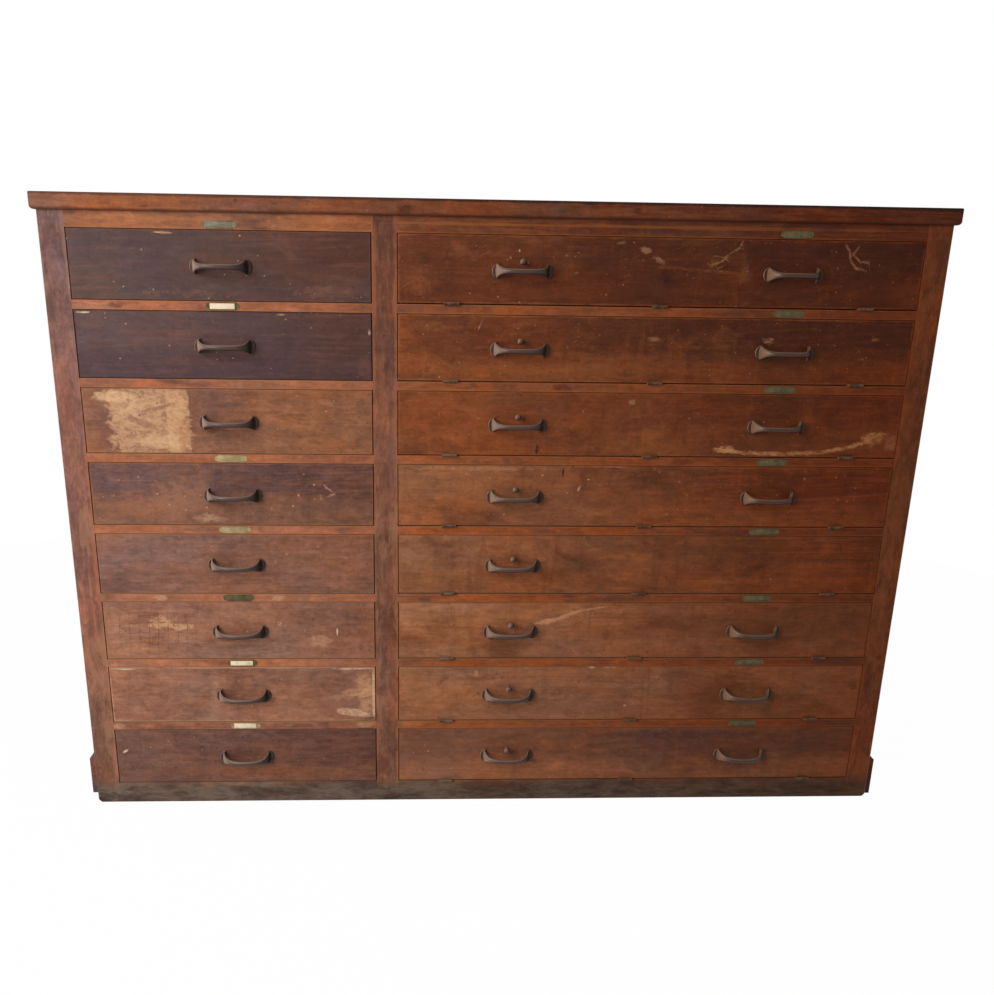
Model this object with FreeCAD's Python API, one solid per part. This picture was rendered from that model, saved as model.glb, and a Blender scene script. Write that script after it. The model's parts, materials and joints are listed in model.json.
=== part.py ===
"""Printer's type case cabinet in hardwood: eight small drawers beside eight wide drop-front trays.

Lengths are in millimetres. X runs along the front to the right, Y from front to back and Z up.
The origin is on the floor, under the middle of the box that holds the whole cabinet.
"""
import FreeCAD, Part
import math
import os

os.makedirs("parts", exist_ok=True)

# Case: a face frame of three stiles and two columns of rails, with boards behind it.
ROWS = 8
LEFT_OPENING = 545.0
RIGHT_OPENING = 979.0
OPENING_HEIGHT = 125.5
END_STILE_WIDTH = 47.0
CENTRE_STILE_WIDTH = 46.0
FRAME_THICKNESS = 30.0
MID_RAIL_HEIGHT = 17.0
BASE_RAIL_HEIGHT = 46.0
TOP_RAIL_HEIGHT = 29.0
CASE_DEPTH = 600.0
SIDE_THICKNESS = 22.0
PARTITION_THICKNESS = 22.0
BOTTOM_THICKNESS = 15.0
BACK_THICKNESS = 12.0
BACK_BOARD_COUNT = 12
BACK_GROOVE = 2.5
FOOT_WEAR = 7.0
STILE_ARRIS = 2.0

# Top board.
TOP_THICKNESS = 30.0
TOP_SIDE_OVERHANG = 7.0
TOP_FRONT_OVERHANG = 10.0
TOP_UPPER_ROUND = 2.5
TOP_LOWER_ROUND = 6.0

# Skirt boards, on edge along the foot of each side; the left one stands on a packing strip.
SKIRT_HEIGHT = 90.0
SKIRT_THICKNESS = 15.0
SKIRT_CHAMFER = 7.0
LEFT_SKIRT_SETBACK = 36.0
RIGHT_SKIRT_SETBACK = 12.0
PACKING_THICKNESS = 9.0
PACKING_HEIGHT = 45.0
PACKING_SETBACK = 30.0

# Runners under the drawers and guides beside them.
RUNNER_BEARING = 20.0
GUIDE_HEIGHT = 24.0
GUIDE_CLEARANCE = 0.3
RUN_CLEARANCE = 0.3

# Drawers and trays.
FRONT_THICKNESS = 22.0
FRONT_END_GAP = 1.5
FRONT_TOP_GAP = 1.0
FRONT_FOOT_GAP = 1.0
FRONT_ARRIS = 1.0
DRAWER_LENGTH = 560.0
DRAWER_SIDE_TOP_GAP = 21.2
DRAWER_SIDE_THICKNESS = 12.0
DRAWER_BACK_TOP_GAP = 33.2
DRAWER_BOTTOM_THICKNESS = 8.0
DRAWER_BOTTOM_RISE = 6.0
TRAY_BOTTOM_THICKNESS = 9.0

# Butt hinges at the foot of each drop front.
HINGE_LENGTH = 28.0
HINGE_INSET = 100.0
LEAF_THICKNESS = 1.5
LEAF_LIFT = 0.4
LEAF_SPLIT = 0.1
MOVING_LEAF_WIDTH = 20.0
FIXED_LEAF_WIDTH = 60.0
KNUCKLE_RADIUS = 3.2
KNUCKLE_SIDES = 8
KNUCKLE_STANDOFF = 0.3
MIDDLE_KNUCKLE = 9.6
KNUCKLE_END_GAP = 0.2
LEAF_FRONT_GAP = 0.2
SWING_CLEARANCE = 0.3
TRAY_FRONT_GAP = 0.5

# Cast iron bow pulls.
PULL_LENGTH = 112.0
PULL_REACH = 35.0
PULL_BELOW_MIDDLE = 1.25
PULL_BAR_HEIGHT = 12.0
PULL_BAR_DEPTH = 8.0
PULL_FLARE_HEIGHT = 26.0
PULL_FLARE_POWER = 6.0
PULL_SQUARENESS = 2.2
PULL_SHOULDER = 0.72
PULL_FOOT_INSET = 9.0
PULL_CHORDS = 10
FLANGE_CHORDS = 6
FLANGE_DEPTH = 13.0
FLANGE_HEIGHT = 28.0
FLANGE_THICKNESS = 3.0
LEFT_PULL_INSET = 230.0
RIGHT_PULL_INSET = 245.0
MISSING_PULL_ROW = 5

# Thumb button and catch of each drop front.
BUTTON_ABOVE_PULL = 16.5
BUTTON_BALL_RADIUS = 6.0
BUTTON_BANDS = 4
BUTTON_SIDES = 10
BUTTON_NECK_LENGTH = 5.5
BUTTON_ROD_RADIUS = 3.0
BUTTON_ROD_CLEARANCE = 0.05
BUTTON_ROD_SETBACK = 0.5
BUTTON_TRAVEL = 4.0
CATCH_CASE_WIDTH = 34.0
CATCH_CASE_THICKNESS = 12.0
CATCH_CASE_DROP = 14.0
CATCH_SLOT_CLEARANCE = 0.6
BOLT_DRAWN_GAP = 5.5
BOLT_WIDTH = 12.0
BOLT_THICKNESS = 6.0
BOLT_RISE = 2.0
STRIKE_LENGTH = 46.0
STRIKE_WIDTH = 16.0
STRIKE_THICKNESS = 1.5
STRIKE_SLOT = 1.0

# Label holders on the rails, over each pull.
LABEL_LENGTH = 49.0
LABEL_EAR = 7.0
LABEL_HEIGHT = 13.5
LABEL_PLATE = 0.8
LABEL_LIP = 1.7
LABEL_LIP_DEPTH = 1.0
LOST_LABEL_ROW = 3

# How far a cutting shape runs past what it cuts, and how near an edge must be to be picked.
CUT_MARGIN = 1.0
PICK_MARGIN = 0.01

# Derived places. The front plane of the case is at y = 0 until a node is written out.
PITCH = OPENING_HEIGHT + MID_RAIL_HEIGHT
CASE_WIDTH = 2 * END_STILE_WIDTH + CENTRE_STILE_WIDTH + LEFT_OPENING + RIGHT_OPENING
LEFT_REACH = max(TOP_SIDE_OVERHANG, PACKING_THICKNESS + SKIRT_THICKNESS)
RIGHT_REACH = max(TOP_SIDE_OVERHANG, SKIRT_THICKNESS)
CASE_LEFT = (LEFT_REACH - RIGHT_REACH - CASE_WIDTH) / 2
CASE_RIGHT = CASE_LEFT + CASE_WIDTH
LEFT_X0 = CASE_LEFT + END_STILE_WIDTH
LEFT_X1 = LEFT_X0 + LEFT_OPENING
RIGHT_X0 = LEFT_X1 + CENTRE_STILE_WIDTH
RIGHT_X1 = RIGHT_X0 + RIGHT_OPENING
CENTRE_X = (LEFT_X1 + RIGHT_X0) / 2
TOP_OPENING_EDGE = BASE_RAIL_HEIGHT + ROWS * PITCH - MID_RAIL_HEIGHT
CASE_TOP = TOP_OPENING_EDGE + TOP_RAIL_HEIGHT
BACK_FACE = CASE_DEPTH - BACK_THICKNESS
FRONT_PLANE_Y = (max(PULL_REACH, TOP_FRONT_OVERHANG) - CASE_DEPTH) / 2

# Heights over the floor of an opening.
PULL_RISE = OPENING_HEIGHT / 2 - PULL_BELOW_MIDDLE
BUTTON_RISE = PULL_RISE + BUTTON_ABOVE_PULL
CATCH_CASE_TOP = OPENING_HEIGHT - BOLT_DRAWN_GAP - BOLT_RISE

# Hinge axis, measured from the case front and from the floor of its opening.
AXIS_Y = -(KNUCKLE_RADIUS + KNUCKLE_STANDOFF)
AXIS_RISE = LEAF_LIFT + LEAF_THICKNESS + LEAF_SPLIT
FRONT_FOOT_RISE = AXIS_RISE + LEAF_SPLIT


def box(x0, x1, y0, y1, z0, z1):
    return Part.makeBox(x1 - x0, y1 - y0, z1 - z0, FreeCAD.Vector(x0, y0, z0))


def flat_face(points):
    corners = [FreeCAD.Vector(*p) for p in points]
    return Part.Face(Part.makePolygon(corners + corners[:1]))


def prism(points, run):
    """A straight-sided solid: the polygon through points, swept along the vector run."""
    return flat_face(points).extrude(FreeCAD.Vector(*run))


def rod(x, y, z, radius, length, direction):
    return Part.makeCylinder(radius, length, FreeCAD.Vector(x, y, z), FreeCAD.Vector(*direction))


def flat_sided(rings):
    """A solid with flat faces over a row of rings of points, closed by its first and last ring."""
    faces = [flat_face(rings[0]), flat_face(rings[-1])]
    count = len(rings[0])
    for near, far in zip(rings, rings[1:]):
        for n in range(count):
            m = (n + 1) % count
            faces.append(flat_face([near[n], near[m], far[m]]))
            faces.append(flat_face([near[n], far[m], far[n]]))
    shell = Part.makeShell(faces)
    shell.sewShape()
    solid = Part.Solid(shell)
    if solid.Volume < 0:
        solid.reverse()
    return solid


def write(name, solids):
    """Writes one node, moved from the case front plane to the frame of the part."""
    shape = Part.makeCompound(solids) if len(solids) > 1 else solids[0]
    shape = shape.copy()
    shape.translate(FreeCAD.Vector(0, FRONT_PLANE_Y, 0))
    shape.exportStep("parts/" + name + ".step")


def floor_of(row):
    """Height of the floor of an opening. Row 1 is the top one, row ROWS the lowest."""
    return BASE_RAIL_HEIGHT + (ROWS - row) * PITCH


def edges_where(shape, test):
    """The edges of shape whose middle and direction pass the test."""
    found = []
    for edge in shape.Edges:
        start, end = edge.Vertexes[0].Point, edge.Vertexes[-1].Point
        if test((start + end) * 0.5, end - start):
            found.append(edge)
    return found


# ---------------------------------------------------------------- case

def cabinet_top():
    """One thick board, rounded more along its lower front and end edges than along its upper."""
    x0, x1 = CASE_LEFT - TOP_SIDE_OVERHANG, CASE_RIGHT + TOP_SIDE_OVERHANG
    top = box(x0, x1, -TOP_FRONT_OVERHANG, CASE_DEPTH, CASE_TOP, CASE_TOP + TOP_THICKNESS)

    def rim(middle, z):
        on_front = abs(middle.y + TOP_FRONT_OVERHANG) < PICK_MARGIN
        on_end = abs(middle.x - x0) < PICK_MARGIN or abs(middle.x - x1) < PICK_MARGIN
        return abs(middle.z - z) < PICK_MARGIN and (on_front or on_end)

    lower = edges_where(top, lambda m, d: rim(m, CASE_TOP))
    top = top.makeFillet(TOP_LOWER_ROUND, lower)
    upper = edges_where(top, lambda m, d: rim(m, CASE_TOP + TOP_THICKNESS))
    return top.makeFillet(TOP_UPPER_ROUND, upper)


def end_stile(x0, x1, outer):
    """A stile that runs to the floor, its outer arris eased and its foot worn away."""
    stile = box(x0, x1, 0, FRAME_THICKNESS, 0, CASE_TOP)
    arris = edges_where(stile, lambda m, d: abs(m.x - outer) < PICK_MARGIN and abs(m.y) < PICK_MARGIN)
    stile = stile.makeChamfer(STILE_ARRIS, arris)
    foot = edges_where(
        stile, lambda m, d: abs(m.x - outer) < PICK_MARGIN and m.z < PICK_MARGIN and abs(d.y) > PICK_MARGIN)
    return stile.makeChamfer(FOOT_WEAR, foot)


def front_stiles():
    centre = box(LEFT_X1, RIGHT_X0, 0, FRAME_THICKNESS, 0, CASE_TOP)
    return [end_stile(CASE_LEFT, LEFT_X0, CASE_LEFT), centre, end_stile(RIGHT_X1, CASE_RIGHT, CASE_RIGHT)]


def catch_x():
    """The catch, its button and the left pull of a drop front are all in line."""
    return RIGHT_X0 + LEFT_PULL_INSET


def strike_pocket(z):
    """The room for a strike plate in the underside of a rail, and the slot for the bolt."""
    x = catch_x()
    y = FRAME_THICKNESS - STRIKE_WIDTH
    return box(x - STRIKE_LENGTH / 2, x + STRIKE_LENGTH / 2, y, FRAME_THICKNESS, z, z + STRIKE_THICKNESS)


def rail_heights():
    """The underside and top of each rail, from the base rail up."""
    spans = [(0, BASE_RAIL_HEIGHT)]
    for row in range(ROWS, 1, -1):
        z = floor_of(row) + OPENING_HEIGHT
        spans.append((z, z + MID_RAIL_HEIGHT))
    spans.append((TOP_OPENING_EDGE, CASE_TOP))
    return spans


def front_rails():
    rails = []
    for z0, z1 in rail_heights():
        rails.append(box(LEFT_X0, LEFT_X1, 0, FRAME_THICKNESS, z0, z1))
        wide = box(RIGHT_X0, RIGHT_X1, 0, FRAME_THICKNESS, z0, z1)
        rails.append(wide.cut(strike_pocket(z0)) if z0 > 0 else wide)
    return rails


def strike_plates():
    """A plate let into the rail over each catch, with a slot for the bolt to rise into."""
    plates = []
    bolt_y = FRONT_THICKNESS + BOLT_THICKNESS / 2
    for row in range(1, ROWS + 1):
        z = floor_of(row) + OPENING_HEIGHT
        half_slot = BOLT_WIDTH / 2 + STRIKE_SLOT
        y0 = FRONT_THICKNESS - STRIKE_SLOT
        y1 = FRONT_THICKNESS + BOLT_THICKNESS + STRIKE_SLOT
        z0, z1 = z - CUT_MARGIN, z + STRIKE_THICKNESS + CUT_MARGIN
        slot = box(catch_x() - half_slot, catch_x() + half_slot, y0, y1, z0, z1)
        plates.append(strike_pocket(z).cut(slot))
    return plates


def side(x0):
    return box(x0, x0 + SIDE_THICKNESS, FRAME_THICKNESS, BACK_FACE, 0, CASE_TOP)


def centre_partition():
    half = PARTITION_THICKNESS / 2
    return box(CENTRE_X - half, CENTRE_X + half, FRAME_THICKNESS, BACK_FACE, 0, CASE_TOP)


def back_boards():
    """Upright boards side by side, each with its two outer edges chamfered to a V joint."""
    boards = []
    width = CASE_WIDTH / BACK_BOARD_COUNT
    for n in range(BACK_BOARD_COUNT):
        x0 = CASE_LEFT + n * width
        x1 = x0 + width
        outline = [
            (x0, BACK_FACE, 0),
            (x1, BACK_FACE, 0),
            (x1, CASE_DEPTH - BACK_GROOVE, 0),
            (x1 - BACK_GROOVE, CASE_DEPTH, 0),
            (x0 + BACK_GROOVE, CASE_DEPTH, 0),
            (x0, CASE_DEPTH - BACK_GROOVE, 0),
        ]
        boards.append(prism(outline, (0, 0, CASE_TOP)))
    return boards


def bottom_boards():
    """A board under each column, level with the underside of the lowest runners."""
    z1 = BASE_RAIL_HEIGHT - MID_RAIL_HEIGHT
    z0 = z1 - BOTTOM_THICKNESS
    half = PARTITION_THICKNESS / 2
    return [
        box(CASE_LEFT + SIDE_THICKNESS, CENTRE_X - half, FRAME_THICKNESS, BACK_FACE, z0, z1),
        box(CENTRE_X + half, CASE_RIGHT - SIDE_THICKNESS, FRAME_THICKNESS, BACK_FACE, z0, z1),
    ]


def runner_pair(wall, edge, inward, z, with_guide):
    """A runner from the case wall to under the drawer side, and the guide that stands on it.

    edge is the side of the opening, and inward is +1 where the drawer lies towards +X of it.
    """
    reach = edge + inward * (FRONT_END_GAP + RUNNER_BEARING)
    y0, y1 = FRAME_THICKNESS, BACK_FACE
    pieces = [box(min(wall, reach), max(wall, reach), y0, y1, z - MID_RAIL_HEIGHT, z)]
    if with_guide:
        face = edge + inward * (FRONT_END_GAP - GUIDE_CLEARANCE)
        pieces.append(box(min(wall, face), max(wall, face), y0, y1, z, z + GUIDE_HEIGHT))
    return pieces


def drawer_runners():
    """Runners and guides at every floor, and plain kickers over the top row."""
    half = PARTITION_THICKNESS / 2
    pieces = []
    for row in range(0, ROWS + 1):
        z = floor_of(row)
        guided = row > 0
        pieces += runner_pair(CASE_LEFT + SIDE_THICKNESS, LEFT_X0, 1, z, guided)
        pieces += runner_pair(CENTRE_X - half, LEFT_X1, -1, z, guided)
        pieces += runner_pair(CENTRE_X + half, RIGHT_X0, 1, z, guided)
        pieces += runner_pair(CASE_RIGHT - SIDE_THICKNESS, RIGHT_X1, -1, z, guided)
    return pieces


def skirt(face, outward, setback):
    """A board on edge along the foot of a side, its outer upper arris planed off."""
    outer = face + outward * SKIRT_THICKNESS
    outline = [
        (face, setback, 0),
        (outer, setback, 0),
        (outer, setback, SKIRT_HEIGHT - SKIRT_CHAMFER),
        (outer - outward * SKIRT_CHAMFER, setback, SKIRT_HEIGHT),
        (face, setback, SKIRT_HEIGHT),
    ]
    return prism(outline, (0, CASE_DEPTH - setback, 0))


def side_skirts():
    packed = CASE_LEFT - PACKING_THICKNESS
    start = LEFT_SKIRT_SETBACK + PACKING_SETBACK
    return [
        skirt(packed, -1, LEFT_SKIRT_SETBACK),
        box(packed, CASE_LEFT, start, CASE_DEPTH, 0, PACKING_HEIGHT),
        skirt(CASE_RIGHT, 1, RIGHT_SKIRT_SETBACK),
    ]


# ---------------------------------------------------------------- label holders

def label_holder(x, z):
    """A brass channel for a card, with a lip above and below and a pointed ear at each end."""
    half, tip = LABEL_LENGTH / 2, LABEL_LENGTH / 2 + LABEL_EAR
    rise = LABEL_HEIGHT / 2
    ear_rise = rise / 3
    outline = [
        (x - half, 0, z - rise),
        (x + half, 0, z - rise),
        (x + tip, 0, z - ear_rise),
        (x + tip, 0, z + ear_rise),
        (x + half, 0, z + rise),
        (x - half, 0, z + rise),
        (x - tip, 0, z + ear_rise),
        (x - tip, 0, z - ear_rise),
    ]
    plate = prism(outline, (0, -LABEL_PLATE, 0))
    depth = LABEL_PLATE + LABEL_LIP_DEPTH
    upper = box(x - half, x + half, -depth, 0, z + rise - LABEL_LIP, z + rise)
    lower = box(x - half, x + half, -depth, 0, z - rise, z - rise + LABEL_LIP)
    return plate.fuse([upper, lower]).removeSplitter()


def label_holders():
    """One on the rail over each pull; the one of the small drawer in LOST_LABEL_ROW has gone."""
    holders = []
    for row in range(1, ROWS + 1):
        z = floor_of(row) + OPENING_HEIGHT + MID_RAIL_HEIGHT / 2
        if row != LOST_LABEL_ROW:
            holders.append(label_holder((LEFT_X0 + LEFT_X1) / 2, z))
        holders.append(label_holder(RIGHT_X1 - RIGHT_PULL_INSET, z))
    return holders


# ---------------------------------------------------------------- pulls

def bow_point(angle, shift):
    """A point of the bow in plan, shift outside its middle line. 0 and 180 degrees are its feet.

    The middle line is half a superellipse that starts within the thickness of the flanges.
    """
    half_span = PULL_LENGTH / 2 - PULL_FOOT_INSET
    start = FLANGE_THICKNESS / 2
    reach = PULL_REACH - PULL_BAR_DEPTH / 2 - start
    power = 2 / PULL_SQUARENESS
    across = math.copysign(abs(math.cos(angle)) ** power, math.cos(angle))
    out = max(math.sin(angle), 0.0) ** power
    normal_x = math.copysign(abs(across) ** (PULL_SQUARENESS - 1), across) / half_span
    normal_y = out ** (PULL_SQUARENESS - 1) / reach
    share = shift / math.hypot(normal_x, normal_y)
    return across * half_span + normal_x * share, start + out * reach + normal_y * share


def bow_half_height(angle):
    """Half the height of the bow: a level bar that opens out to a fishtail at each foot."""
    flare = abs(math.cos(angle)) ** PULL_FLARE_POWER
    return (PULL_BAR_HEIGHT + (PULL_FLARE_HEIGHT - PULL_BAR_HEIGHT) * flare) / 2


def half_round(x, z, outward):
    """One flange: a half oval whose straight edge is towards the middle of the pull."""
    centre = x + outward * (PULL_LENGTH / 2 - FLANGE_DEPTH)
    points = []
    for n in range(FLANGE_CHORDS + 1):
        angle = math.pi * (n / FLANGE_CHORDS - 0.5)
        reach = outward * FLANGE_DEPTH * math.cos(angle)
        points.append((centre + reach, 0, z + FLANGE_HEIGHT / 2 * math.sin(angle)))
    return prism(points, (0, -FLANGE_THICKNESS, 0))


def bow_ring(x, z, angle):
    """The section of the bow: upright faces outside and inside, ridged above and below."""
    half = bow_half_height(angle)
    ring = []
    for shift, rise in ((1, -1), (1, 1), (0, 1), (-1, 1), (-1, -1), (0, -1)):
        across, out = bow_point(angle, shift * PULL_BAR_DEPTH / 2)
        height = half if shift == 0 else half * PULL_SHOULDER
        ring.append((x + across, -out, z + rise * height))
    return ring


def bow_pull(x, z):
    """A casting: a bow on two flanges."""
    rings = [bow_ring(x, z, math.pi * n / PULL_CHORDS) for n in range(PULL_CHORDS + 1)]
    return flat_sided(rings).fuse([half_round(x, z, 1), half_round(x, z, -1)]).removeSplitter()


# ---------------------------------------------------------------- small drawers

def drawer_front(x0, x1, z0, z1):
    """A plain board with the arris of its face eased."""
    front = box(x0, x1, 0, FRONT_THICKNESS, z0, z1)
    rim = edges_where(front, lambda m, d: abs(m.y) < PICK_MARGIN)
    return front.makeChamfer(FRONT_ARRIS, rim)


def open_box(x0, x1, y0, floor, bottom_z, bottom_thickness):
    """Two sides, a lower back and a bottom between them, open in front at y0."""
    y1 = DRAWER_LENGTH
    low = floor + RUN_CLEARANCE
    side_top = floor + OPENING_HEIGHT - DRAWER_SIDE_TOP_GAP
    back_top = floor + OPENING_HEIGHT - DRAWER_BACK_TOP_GAP
    inner0, inner1 = x0 + DRAWER_SIDE_THICKNESS, x1 - DRAWER_SIDE_THICKNESS
    back = y1 - DRAWER_SIDE_THICKNESS
    return [
        box(x0, inner0, y0, y1, low, side_top),
        box(inner1, x1, y0, y1, low, side_top),
        box(inner0, inner1, back, y1, bottom_z, back_top),
        box(inner0, inner1, y0, back, bottom_z, bottom_z + bottom_thickness),
    ]


def small_drawer(row):
    z = floor_of(row)
    x0, x1 = LEFT_X0 + FRONT_END_GAP, LEFT_X1 - FRONT_END_GAP
    front = drawer_front(x0, x1, z + FRONT_FOOT_GAP, z + OPENING_HEIGHT - FRONT_TOP_GAP)
    bottom_z = z + DRAWER_BOTTOM_RISE
    return [front] + open_box(x0, x1, FRONT_THICKNESS, z, bottom_z, DRAWER_BOTTOM_THICKNESS)


# ---------------------------------------------------------------- drop-front trays

def hinge_places():
    return [RIGHT_X0 + HINGE_INSET, (RIGHT_X0 + RIGHT_X1) / 2, RIGHT_X1 - HINGE_INSET]


def rolled_knuckle(x0, x1, floor, z0):
    """One knuckle, with the neck of the leaf at height z0 that is rolled to make it."""
    axis_z = floor + AXIS_RISE
    outline = []
    for n in range(KNUCKLE_SIDES):
        angle = 2 * math.pi * (n + 0.5) / KNUCKLE_SIDES
        y = AXIS_Y + KNUCKLE_RADIUS * math.cos(angle)
        outline.append((x0, y, axis_z + KNUCKLE_RADIUS * math.sin(angle)))
    barrel = prism(outline, (x1 - x0, 0, 0))
    return barrel.fuse(box(x0, x1, AXIS_Y, LEAF_FRONT_GAP, z0, z0 + LEAF_THICKNESS))


def fixed_leaf(x, floor):
    """The leaf under the tray bottom, with the two outer knuckles."""
    z = floor + LEAF_LIFT
    half = HINGE_LENGTH / 2
    inner = MIDDLE_KNUCKLE / 2 + KNUCKLE_END_GAP
    leaf = box(x - half, x + half, LEAF_FRONT_GAP, FIXED_LEAF_WIDTH, z, z + LEAF_THICKNESS)
    knuckles = [rolled_knuckle(x - half, x - inner, floor, z), rolled_knuckle(x + inner, x + half, floor, z)]
    return leaf.fuse(knuckles).removeSplitter()


def moving_leaf(x, floor):
    """The leaf let into the foot of the drop front, with the middle knuckle."""
    z = floor + FRONT_FOOT_RISE
    half, inner = HINGE_LENGTH / 2, MIDDLE_KNUCKLE / 2
    leaf = box(x - half, x + half, LEAF_FRONT_GAP, MOVING_LEAF_WIDTH, z, z + LEAF_THICKNESS)
    return leaf.fuse(rolled_knuckle(x - inner, x + inner, floor, z)).removeSplitter()


def wide_tray(row):
    """An open tray on the runners, with the fixed leaf of each hinge screwed under its bottom."""
    z = floor_of(row)
    x0, x1 = RIGHT_X0 + FRONT_END_GAP, RIGHT_X1 - FRONT_END_GAP
    bottom_z = z + LEAF_LIFT + LEAF_THICKNESS
    y0 = FRONT_THICKNESS + TRAY_FRONT_GAP
    boards = open_box(x0, x1, y0, z, bottom_z, TRAY_BOTTOM_THICKNESS)
    return boards + [fixed_leaf(x, z) for x in hinge_places()]


def swing_height(depth):
    """How high over the hinge axis the front may stand, depth behind the axis, and still
    clear the rail above as it swings out."""
    reach = OPENING_HEIGHT - AXIS_RISE - SWING_CLEARANCE
    return math.sqrt(reach ** 2 + AXIS_Y ** 2 - depth ** 2)


def drop_front(row):
    """A board hinged at its foot: its top edge is bevelled to swing clear of the rail."""
    floor = floor_of(row)
    x0, x1 = RIGHT_X0 + FRONT_END_GAP, RIGHT_X1 - FRONT_END_GAP
    z0 = floor + FRONT_FOOT_RISE
    z1 = floor + OPENING_HEIGHT - FRONT_TOP_GAP
    back_z = floor + AXIS_RISE + swing_height(FRONT_THICKNESS - AXIS_Y)
    outline = [
        (x0, FRONT_ARRIS, z0),
        (x0, FRONT_THICKNESS, z0),
        (x0, FRONT_THICKNESS, back_z),
        (x0, FRONT_ARRIS, z1),
        (x0, 0, z1 - FRONT_ARRIS),
        (x0, 0, z0 + FRONT_ARRIS),
    ]
    board = prism(outline, (x1 - x0, 0, 0))
    half = HINGE_LENGTH / 2
    bore = BUTTON_ROD_RADIUS + BUTTON_ROD_CLEARANCE
    cuts = [rod(catch_x(), -CUT_MARGIN, floor + BUTTON_RISE, bore, FRONT_THICKNESS + 2 * CUT_MARGIN, (0, 1, 0))]
    for x in hinge_places():
        recess_top = z0 + LEAF_THICKNESS
        cuts.append(box(x - half, x + half, -CUT_MARGIN, MOVING_LEAF_WIDTH, z0 - CUT_MARGIN, recess_top))
    return board.cut(cuts)


def catch_case(floor):
    """The iron case behind the front: the button's rod works in its slot, its bolt is on top."""
    x = catch_x()
    y0, y1 = FRONT_THICKNESS, FRONT_THICKNESS + CATCH_CASE_THICKNESS
    z0, z1 = floor + BUTTON_RISE - CATCH_CASE_DROP, floor + CATCH_CASE_TOP
    case = box(x - CATCH_CASE_WIDTH / 2, x + CATCH_CASE_WIDTH / 2, y0, y1, z0, z1)
    room = BUTTON_ROD_RADIUS + CATCH_SLOT_CLEARANCE
    slot = box(x - room, x + room, y0 - CUT_MARGIN, y0 + BUTTON_TRAVEL + CATCH_SLOT_CLEARANCE,
               z0 - CUT_MARGIN, floor + BUTTON_RISE + room)
    bolt = box(x - BOLT_WIDTH / 2, x + BOLT_WIDTH / 2, y0, y0 + BOLT_THICKNESS, z1, z1 + BOLT_RISE)
    return case.fuse(bolt).cut(slot).removeSplitter()


def front_irons(row):
    """What is fixed to a drop front: its pulls, the moving leaves and the catch."""
    floor = floor_of(row)
    irons = [bow_pull(catch_x(), floor + PULL_RISE)]
    if row != MISSING_PULL_ROW:
        irons.append(bow_pull(RIGHT_X1 - RIGHT_PULL_INSET, floor + PULL_RISE))
    irons += [moving_leaf(x, floor) for x in hinge_places()]
    return irons + [catch_case(floor)]


def turned_ring(radius, y, z):
    """A regular polygon square to Y, about the line of the catch."""
    ring = []
    for n in range(BUTTON_SIDES):
        angle = 2 * math.pi * (n + 0.5) / BUTTON_SIDES
        ring.append((catch_x() + radius * math.cos(angle), y, z + radius * math.sin(angle)))
    return ring


def catch_button(row):
    """A turned ball on a rod that runs through the front, pushed in by the thumb."""
    z = floor_of(row) + BUTTON_RISE
    ball_y = -(BUTTON_NECK_LENGTH + BUTTON_BALL_RADIUS)
    start = math.asin(BUTTON_ROD_RADIUS / BUTTON_BALL_RADIUS)
    rings = []
    for n in range(BUTTON_BANDS + 1):
        angle = start + (math.pi - 2 * start) * n / BUTTON_BANDS
        y = ball_y - BUTTON_BALL_RADIUS * math.cos(angle)
        rings.append(turned_ring(BUTTON_BALL_RADIUS * math.sin(angle), y, z))
    rings.append(turned_ring(BUTTON_ROD_RADIUS, FRONT_THICKNESS - BUTTON_ROD_SETBACK, z))
    return flat_sided(rings)


# ---------------------------------------------------------------- write every node

write("cabinet_top", [cabinet_top()])
write("front_stiles", front_stiles())
write("front_rails", front_rails())
write("side_left", [side(CASE_LEFT)])
write("side_right", [side(CASE_RIGHT - SIDE_THICKNESS)])
write("centre_partition", [centre_partition()])
write("back_boards", back_boards())
write("bottom_boards", bottom_boards())
write("drawer_runners", drawer_runners())
write("side_skirts", side_skirts())
write("label_holders", label_holders())
write("strike_plates", strike_plates())
for number in range(1, ROWS + 1):
    write("small_drawer_%d" % number, small_drawer(number))
    small_x = (LEFT_X0 + LEFT_X1) / 2
    write("small_pull_%d" % number, [bow_pull(small_x, floor_of(number) + PULL_RISE)])
    write("wide_tray_%d" % number, wide_tray(number))
    write("drop_front_%d" % number, [drop_front(number)])
    write("front_irons_%d" % number, front_irons(number))
    write("catch_button_%d" % number, [catch_button(number)])
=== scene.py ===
"""The looks of a printer's type case cabinet: old varnished hardwood, cast iron and aged brass.

Lengths are in metres, in the cabinet's own frame: X to the right along the front, Y to the back
and Z up.
"""
import json
import math

import bmesh
import bpy
from mathutils import Matrix, Vector


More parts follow.
